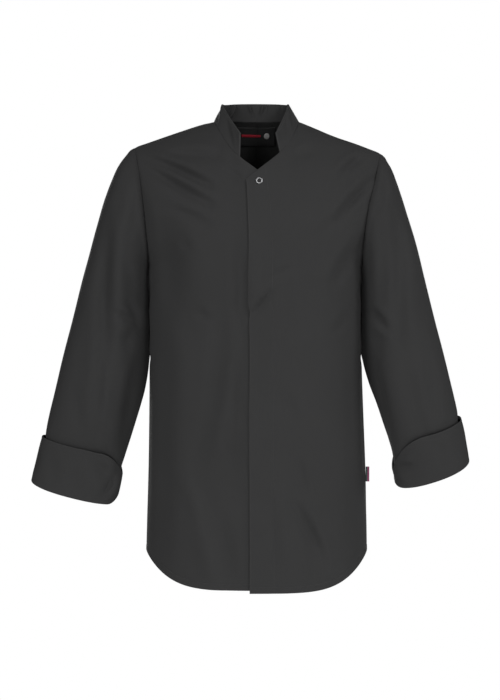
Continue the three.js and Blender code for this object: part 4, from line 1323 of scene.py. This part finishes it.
def build_cuff(side, settings):
    name = side_name(side)
    cuff = CUFFS[name]
    rows = SLEEVES[name]
    top = rows["outer_level"][int(LAST_RING - CUFF_RINGS)]
    ring_length = (top - rows["outer_level"][-1]) / CUFF_RINGS
    angles = 180 + CUFF_SLIT + (360 - 2 * CUFF_SLIT) * places(360)
    fold = LAST_RING - CUFF_RINGS * cuff["heel_rise"] * corner_shape(angles, cuff["heel"])
    free = free_edge_ring(name, angles)
    radius = CUFF_LIFT / 2
    lip = LAST_RING - cuff["lip"] + CUFF_SEAM_GAP / ring_length
    turn = fold - radius / ring_length
    inner_leg = np.linspace(0, 1, 12)[:-1, None]
    bends = np.radians(np.linspace(0, 180, 13))[:, None]
    tall = 76.0
    outer_leg = places(tall, starts=(), ends=EDGE_LINES + (4.6, 5.5, 6.4, 7.4))[1:, None]
    ring = np.concatenate([
        lerp(lip, turn, inner_leg),
        turn + radius / ring_length * np.sin(bends),
        lerp(turn, free, outer_leg),
    ])
    lift = np.concatenate([
        inner_leg * 0 + np.zeros_like(angles),
        radius * (1 - np.cos(bends)) + np.zeros_like(angles),
        CUFF_LIFT + np.zeros_like(ring[: len(outer_leg)]),
    ])
    near_slit = np.exp(-(((np.abs(angles - 360) - 175) / 40) ** 2))
    loose = smooth_step(outer_leg, 0.35, 1.0) * (1.1 + 0.3 * near_slit)
    lift[-len(outer_leg) :] += loose
    grid = sleeve_point(side, ring, angles[None, :])
    tiny = 0.5
    around = sleeve_point(side, ring, angles[None, :] + tiny)
    around = around - sleeve_point(side, ring, angles[None, :] - tiny)
    down = sleeve_point(side, ring + tiny, angles[None, :])
    down = down - sleeve_point(side, ring - tiny, angles[None, :])
    normals = np.cross(around, down) * side
    normals /= np.linalg.norm(normals, axis=-1, keepdims=True)
    grid = grid + normals * lift[..., None]
    up = arc(grid, 0)
    from_free = from_end(up, 0)
    fold_row = len(inner_leg) + 6
    from_fold = up - up[fold_row]
    around = arc(grid, 1)
    crease = crease_sum(
        (np.mod(angles, 360)[None, :] - 180) * 0.85 + 0 * from_fold,
        from_fold,
        [((a - 180) * 0.85, b, (c - 180) * 0.85, d) + tuple(rest)
         for a, b, c, d, *rest in CUFF_CREASES[name]],
    )
    ahead = np.maximum(np.sin(np.radians(angles)), 0) ** 0.7
    crease = crease + crease_sum(grid[..., 0], grid[..., 2], CUFF_FRONT_CREASES[name]) * ahead
    moved = crease * smooth_step(from_fold, 4, 14) + groove(from_free, 6.0, 0.3)
    edge = np.minimum.reduce([from_free, around, from_end(around, 1)])
    edge = np.minimum(edge, np.abs(from_fold) + 0.8)
    piece, surface, ways = add_cloth(
        f"jacket_cuff_{name}", grid, cloth_material(settings), thick=settings.thickness / MM,
        edge=edge, round_edge=np.minimum.reduce([up, from_free, around, from_end(around, 1)]),
        u=around, v=from_free, moved=moved,
    )
    settle(piece, f"cuff_{name}")
    return piece


def neck_seam(x, face):
    """The neck seam at a place round the neck, on the cloth of the fronts and the back."""
    side = 1 if x > 0 else -1
    name = side_name(side)
    out = abs(x)
    ridge = read(SHOULDER_LINE, out, name)
    if face == 0:
        return np.array([x, 0.0, ridge + COLLAR_FOOT])
    level = read(NECKLINES[name] if face < 0 else NECKLINES["back"], out, "level")
    rise = (level - UNDERARM) / (ridge - UNDERARM)
    point = body_point(face, side, turn_at(face, side, out, rise), rise, SIDE_HEM)
    return point + [0, 0, COLLAR_FOOT]


def collar_grid():
    """The middle of the collar's stand, from its seam up to its top edge."""
    row = COLLAR["row"]
    seam = np.array([neck_seam(x, f) for x, f in zip(COLLAR["x"], COLLAR["face"])])
    bottom = {"row": row, "x": seam[:, 0], "y": seam[:, 1], "z": seam[:, 2]}
    round_it = places(470, starts=EDGE_LINES, ends=EDGE_LINES, step=1.5) * row[-1]
    low = np.stack([read(bottom, round_it, k) for k in "xyz"], axis=-1)
    high = np.stack([read(COLLAR, round_it, k) for k in ("top_x", "top_y", "top_level")], axis=-1)
    up = places(37, starts=EDGE_LINES, ends=EDGE_LINES + (4.0, 5.0, 6.0, 7.0), step=2.6)
    grid = lerp(low[None], high[None], up[:, None, None])
    return grid, np.broadcast_to(round_it, grid.shape[:2])


def build_collar(layer, settings):
    grid, round_it = collar_grid()
    out = 1 if layer == "outer" else -1
    normals = grid_normals(grid)
    grid = grid + normals * (out * COLLAR_APART)
    up, across = arc(grid, 0), arc(grid, 1)
    from_top = from_end(up, 0)
    ends = np.minimum(across, from_end(across, 1))
    moved = crease_sum(round_it * 31, up, [
        (a * 31, b, c * 31, d) + tuple(rest) for a, b, c, d, *rest in COLLAR_CREASES[layer]
    ])
    moved = moved * smooth_step(up, 1, 8) * smooth_step(from_top, 0, 5)
    if layer == "outer":
        moved = moved + groove(from_top, 5.0, 0.25)
        moved = moved - 0.75 * (1 - smooth_step(np.minimum(from_top, ends), 0, 1.6))
    edge = np.minimum(from_top, ends)
    piece, surface, ways = add_cloth(
        f"jacket_collar_{layer}", grid, cloth_material(settings), thick=COLLAR_LAYER,
        edge=edge, round_edge=np.minimum(edge, up), u=across, v=up, moved=moved,
    )
    settle(piece, f"collar_{layer}")
    if layer == "inner":
        return piece, None
    rows = [line_where(-from_top, -5.0, surface, ways, 0)]
    return piece, add_stitches("stitches_collar", rows, settings)


def place_on_body(face, x, level, out):
    """Points of a body face at places seen from the front, moved out from it, and their normals."""
    def at(px, pz):
        side = np.where(px < 0, -1, 1)
        points = np.zeros(np.broadcast(px, pz).shape + (3,))
        for one in (-1, 1):
            ridge = read(SHOULDER_LINE, np.abs(px), side_name(one))
            rise = (pz - UNDERARM) / (ridge - UNDERARM)
            found = body_point(face, one, turn_at(face, one, np.abs(px), rise), rise, SIDE_HEM)
            points = np.where((side == one)[..., None], found, points)
        return points

    near = 2.0
    across = at(x + near, level) - at(x - near, level)
    upward = at(x, level + near) - at(x, level - near)
    normals = np.cross(across, upward)
    normals /= np.linalg.norm(normals, axis=-1, keepdims=True)
    normals = np.where((normals[..., 1] * face < 0)[..., None], -normals, normals)
    return at(x, level) + normals * np.asarray(out)[..., None], normals


def build_snap(trim, settings):
    """A pressed ring with a rounded lip, and the cloth that bulges a little in its middle."""
    outer = trim.snap_width / MM / 2
    hole, height = outer - 1.95, 1.9
    profile = []
    middle, half = (outer + hole) / 2, (outer - hole) / 2
    for step in range(25):
        angle = math.pi * step / 24
        radius = middle + half * signed_power(math.cos(angle), 0.72)
        profile.append((radius, 0.25 + (height - 0.25) * math.sin(angle) ** 0.72))
    profile = [(outer + 0.12, 0.0), (outer + 0.12, 0.12)] + profile + [(hole, 0.0)]
    sides = 96
    out = LAP + CLOTH / 2 + SEAM_GAP
    centre, normal = place_on_body(-1, np.array(SNAP_X), np.array(SNAP_LEVEL), np.array(out))
    across = np.cross(normal, [0.0, 0.0, 1.0])
    across /= np.linalg.norm(across)
    upward = np.cross(across, normal)
    turns = 2 * np.pi * np.arange(sides) / sides
    ring = np.cos(turns)[:, None] * across + np.sin(turns)[:, None] * upward
    points = np.array([
        [centre + ring[k] * radius + normal * rise for k in range(sides)] for radius, rise in profile
    ])
    count = len(profile)
    faces = []
    for r in range(count):
        for k in range(sides):
            n, below = (k + 1) % sides, (r + 1) % count
            faces.append((r * sides + k, r * sides + n, below * sides + n, below * sides + k))
    piece = add_object("jacket_snap_ring", points.reshape(-1, 3), faces, [metal_material(trim)])
    settle(piece, "snap_ring")
    part = np.linspace(0.03, 1, 9)[:, None, None]
    bulge = ring[None] * part * (hole - 0.8) + normal * (SNAP_CLOTH_RISE * (1 - part**2) - 0.35)
    points, faces = shell_mesh(centre + bulge, normal, 0.1, 0.1, closed=True)
    place = np.repeat(part[:, 0, 0] * hole, sides)
    place = np.stack([place, place, 9 + 0 * place], axis=-1)
    cloth = add_object("snap_cloth", points, faces, [cloth_material(settings)],
                       np.concatenate([place, place]))
    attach(cloth, "root")
    return cloth


def label_patch(name, x, level, out, thick, material, closed=False):
    """A thin patch on the inside of the back, between rows of places across and up."""
    grid, normals = place_on_body(1, x, level, np.full(x.shape, -out))
    points, faces = shell_mesh(grid, -normals, thick / 2, thick / 2, closed)
    edges = np.minimum.reduce([arc(grid, 0), from_end(arc(grid, 0), 0),
                               arc(grid, 1), from_end(arc(grid, 1), 1)])
    place = np.stack([arc(grid, 1), arc(grid, 0), edges], axis=-1).reshape(-1, 3)
    return add_object(name, points, faces, [material], np.concatenate([place, place]))


def build_label(trim):
    low, high = (np.array(corner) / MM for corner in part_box("neck_label"))
    names = ("label_satin", "label_bar_thread", "label_dot_thread")
    colours = (trim.label_colour, trim.bar_colour, trim.dot_colour)
    ground, bar, dot = (
        woven_material(name, colour, pitch=0.0007, bump=0.00006, roughness=0.6, sheen=0.05,
                       specular=0.3, wear=0.05)
        for name, colour in zip(names, colours)
    )
    across = np.linspace(low[0] + 0.5, high[0] - 0.5, 42)[None, :]
    levels = np.linspace(low[2] + 0.8, -2.5, 20)[:, None]
    x, level = np.broadcast_arrays(across, levels)
    depth = CLOTH / 2 + 0.8
    piece = label_patch("jacket_neck_label", x, level, depth, 0.8, ground)
    settle(piece, "neck_label")
    left, right, bottom, top = LABEL_BAR
    x, level = np.broadcast_arrays(np.linspace(left, right, 28)[None, :],
                                   np.linspace(bottom, top, 5)[:, None])
    patches = [label_patch("neck_label_bar", x, level, depth + 0.5, 0.25, bar)]
    centre_x, centre_level, radius = LABEL_DOT
    rings = np.linspace(0.05, 1, 6)[:, None] * radius
    turns = 2 * np.pi * np.arange(32)[None, :] / 32
    x, level = centre_x + rings * np.cos(turns), centre_level + rings * np.sin(turns)
    patches.append(label_patch("neck_label_dot", x, level, depth + 0.5, 0.25, dot, closed=True))
    for patch in patches:
        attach(patch, "root")
    return [piece] + patches


def build_tab(trim):
    """A ribbon folded in two, whose ends are caught in the left side seam."""
    low, high = (np.array(corner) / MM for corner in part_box("side_tab"))
    radius = (high[1] - low[1]) / 2 - 0.35
    start, tip = low[0], high[0] - 0.35
    straight = np.linspace(start, tip - radius, 10)
    bend = np.radians(np.linspace(-90, 90, 15))[1:-1]
    x = np.concatenate([straight, tip - radius + radius * np.cos(bend), straight[::-1]])
    y = np.concatenate([0 * straight - radius, radius * np.sin(bend), 0 * straight + radius])
    squeeze = 1 - 0.55 * smooth_step(start + 2.2 - x, 0, 2.2)
    tall = high[2] - low[2] + TAB_DROP
    levels = places(tall, step=1.2) * tall + low[2] - TAB_DROP
    grid = np.zeros((len(levels), len(x), 3))
    grid[..., 0], grid[..., 1], grid[..., 2] = x, y * squeeze, levels[:, None]
    grid[..., 1] += 0.25 * np.sin((levels[:, None] - low[2]) / 5.5) * smooth_step(x, start, tip)
    inner = woven_material("tab_green_ribbon", trim.tab_inner_colour, pitch=0.0006, bump=0.00008,
                           roughness=0.7, sheen=0.1, specular=0.25)
    outer = woven_material("tab_maroon_ribbon", trim.tab_outer_colour, pitch=0.0006, bump=0.00008,
                           roughness=0.7, sheen=0.1, specular=0.25)
    normals = np.cross(np.gradient(grid, axis=1), np.gradient(grid, axis=0))
    normals /= np.linalg.norm(normals, axis=-1, keepdims=True)
    if (normals[..., 0] * (grid[..., 0] - start)).sum() < 0:
        normals = -normals
    points, faces = shell_mesh(grid, normals, 0.3, 0.3)
    up, across = arc(grid, 0), arc(grid, 1)
    edges = np.minimum(up, from_end(up, 0))
    place = np.stack([across, up, edges], axis=-1).reshape(-1, 3)
    piece = add_object("jacket_side_tab", points, faces, [inner, outer], np.concatenate([place, place]))
    border = (start + (tip - start) * 0.5) * MM
    for polygon in piece.data.polygons:
        polygon.material_index = int(polygon.center.x > border)
    settle(piece, "side_tab")
    return piece


def add_area_light(name, place, target, size, power, colour=(1, 1, 1)):
    data = bpy.data.lights.new(name, "AREA")
    data.shape, data.size, data.energy, data.color = "SQUARE", size, power, colour
    light = bpy.data.objects.new(name, data)
    light.location = place
    way = np.array(target, float) - np.array(place, float)
    flat = math.hypot(way[0], way[1])
    light.rotation_euler = (math.atan2(flat, -way[2]), 0, math.atan2(way[1], way[0]) - math.pi / 2)
    bpy.context.scene.collection.objects.link(light)
    return light


LIGHT_DISTANCE = 3.0
# Name, degrees to the wearer's left, degrees up, and share of the power
STUDIO_LIGHTS = (
    ("front", 0, -16, 0.29),
    ("high_left", -36, 35, 0.23),
    ("high_right", 36, 35, 0.36),
    ("left", -38, 0, 0.2),
    ("side", 74, 4, 0.25),
    ("behind_left", 168, 12, 0.5),
    ("behind_right", 197, 14, 0.45),
)


def build_stage(stage):
    scene = bpy.context.scene
    camera = bpy.data.cameras.new("camera")
    camera.sensor_width, camera.lens = 36.0, 131.7
    camera.clip_end = 50.0
    eye = bpy.data.objects.new("camera", camera)
    eye.location = (-0.01066, -4.2, -0.3739)
    eye.rotation_euler = (math.radians(90), 0, 0)
    scene.collection.objects.link(eye)
    scene.camera = eye
    scene.view_settings.view_transform = "Standard"
    turns = 2 * np.pi * np.arange(96) / 96
    radii = np.array([200.0, 500.0, 800.0, 1040.0, 1050.0])
    level = stage.floor_level / MM
    points = [(0.0, 0.0, level)]
    for radius in radii:
        drop = 8.0 if radius > 1045 else 0.0
        points += [(radius * math.cos(t), radius * math.sin(t), level - drop) for t in turns]
    faces = [(0, 1 + k, 1 + (k + 1) % 96) for k in range(96)]
    for r in range(len(radii) - 1):
        for k in range(96):
            a, b = 1 + r * 96 + k, 1 + r * 96 + (k + 1) % 96
            faces.append((a, a + 96, b + 96, b))
    material = bpy.data.materials.new("pale_floor")
    material.use_nodes = True
    tree = material.node_tree
    shader = next(n for n in tree.nodes if n.type == "BSDF_PRINCIPLED")
    where = add_node(tree, "ShaderNodeTexCoord").outputs["Object"]
    grain = add_node(tree, "ShaderNodeTexNoise", {"Vector": where, "Scale": 60.0}).outputs[0]
    tone = mix_colour(tree, grain, (0.84, 0.84, 0.83, 1), (0.88, 0.88, 0.87, 1))
    tree.links.new(tone, shader.inputs["Base Color"])
    shader.inputs["Roughness"].default_value = 0.7
    add_object("floor", np.array(points), faces, [material])
    world = bpy.data.worlds.new("studio")
    world.use_nodes = True
    tree = world.node_tree
    tree.nodes.clear()
    seen = add_node(tree, "ShaderNodeLightPath").outputs["Is Camera Ray"]
    strength = add_node(
        tree, "ShaderNodeMapRange", {"Value": seen, "To Min": stage.surround, "To Max": 1.0}
    ).outputs[0]
    backdrop = add_node(tree, "ShaderNodeBackground", {"Color": (1, 1, 1, 1), "Strength": strength})
    end = tree.nodes.new("ShaderNodeOutputWorld")
    tree.links.new(backdrop.outputs[0], end.inputs["Surface"])
    scene.world = world
    middle = (0, 0, -0.36)
    for name, azimuth, elevation, share in STUDIO_LIGHTS:
        turn, lift = math.radians(azimuth), math.radians(elevation)
        flat = LIGHT_DISTANCE * math.cos(lift)
        place = (flat * math.sin(turn), -flat * math.cos(turn),
                 middle[2] + LIGHT_DISTANCE * math.sin(lift))
        add_area_light(name, place, middle, 1.0, stage.light_power * share)


class JACKET_OT_stage(bpy.types.Operator):
    """Adds the camera, the lights and the floor"""

    bl_idname = "jacket.stage"
    bl_label = "Stage"

    def execute(self, context):
        build_stage(context.scene.jacket.stage)
        return {"FINISHED"}


class JACKET_OT_fronts(bpy.types.Operator):
    """Sews the two fronts, with their hems and the concealed closing"""

    bl_idname = "jacket.fronts"
    bl_label = "Fronts"

    def execute(self, context):
        for name, resting in (("right", "back"), ("left", "front_right")):
            piece, stitches = build_front(name, context.scene.jacket.cloth)
        return {"FINISHED"}


class JACKET_OT_back(bpy.types.Operator):
    """Sews the back"""

    bl_idname = "jacket.back"
    bl_label = "Back"

    def execute(self, context):
        piece, stitches = build_back(context.scene.jacket.cloth)
        return {"FINISHED"}


class JACKET_OT_sleeves(bpy.types.Operator):
    """Sews the two sleeves"""

    bl_idname = "jacket.sleeves"
    bl_label = "Sleeves"

    def execute(self, context):
        for side in (-1, 1):
            piece = build_sleeve(side, context.scene.jacket.cloth)
        return {"FINISHED"}


class JACKET_OT_cuffs(bpy.types.Operator):
    """Turns back the two slit cuffs"""

    bl_idname = "jacket.cuffs"
    bl_label = "Cuffs"

    def execute(self, context):
        for side, length, area in ((-1, 0.13, 0.035), (1, 0.10, 0.025)):
            piece = build_cuff(side, context.scene.jacket.cloth)
        return {"FINISHED"}


class JACKET_OT_collar(bpy.types.Operator):
    """Sews the two layers of the stand collar"""

    bl_idname = "jacket.collar"
    bl_label = "Collar"

    def execute(self, context):
        for layer in ("outer", "inner"):
            piece, stitches = build_collar(layer, context.scene.jacket.cloth)
        return {"FINISHED"}


class JACKET_OT_trim(bpy.types.Operator):
    """Adds the ring snap, the neck label and the side tab"""

    bl_idname = "jacket.trim"
    bl_label = "Snap, label and tab"

    def execute(self, context):
        trim = context.scene.jacket.trim
        build_snap(trim, context.scene.jacket.cloth)
        label, bar, dot = build_label(trim)
        tab = build_tab(trim)
        return {"FINISHED"}


class JACKET_PT_panel(bpy.types.Panel):
    """Lists the jacket's sizes and pieces"""

    bl_idname = "JACKET_PT_panel"
    bl_label = "Chef jacket"
    bl_space_type = "VIEW_3D"
    bl_region_type = "UI"
    bl_category = "Jacket"

    def draw(self, context):
        settings = context.scene.jacket
        for group in (settings.cloth, settings.trim, settings.stage):
            box = self.layout.box()
            for key in group.__annotations__:
                box.prop(group, key)
        for operator in OPERATORS:
            self.layout.operator(operator.bl_idname)


OPERATORS = (
    JACKET_OT_stage,
    JACKET_OT_fronts,
    JACKET_OT_back,
    JACKET_OT_sleeves,
    JACKET_OT_cuffs,
    JACKET_OT_collar,
    JACKET_OT_trim,
)
CLASSES = (JacketCloth, JacketTrim, JacketStage, JacketSettings) + OPERATORS + (JACKET_PT_panel,)


def register():
    for cls in CLASSES:
        bpy.utils.register_class(cls)
    bpy.types.Scene.jacket = bpy.props.PointerProperty(type=JacketSettings)


def unregister():
    del bpy.types.Scene.jacket
    for cls in reversed(CLASSES):
        bpy.utils.unregister_class(cls)


def main():
    register()
    bpy.ops.jacket.stage()
    bpy.ops.jacket.fronts()
    bpy.ops.jacket.back()
    bpy.ops.jacket.sleeves()
    bpy.ops.jacket.cuffs()
    bpy.ops.jacket.collar()
    bpy.ops.jacket.trim()


if __name__ == "__main__":
    main()
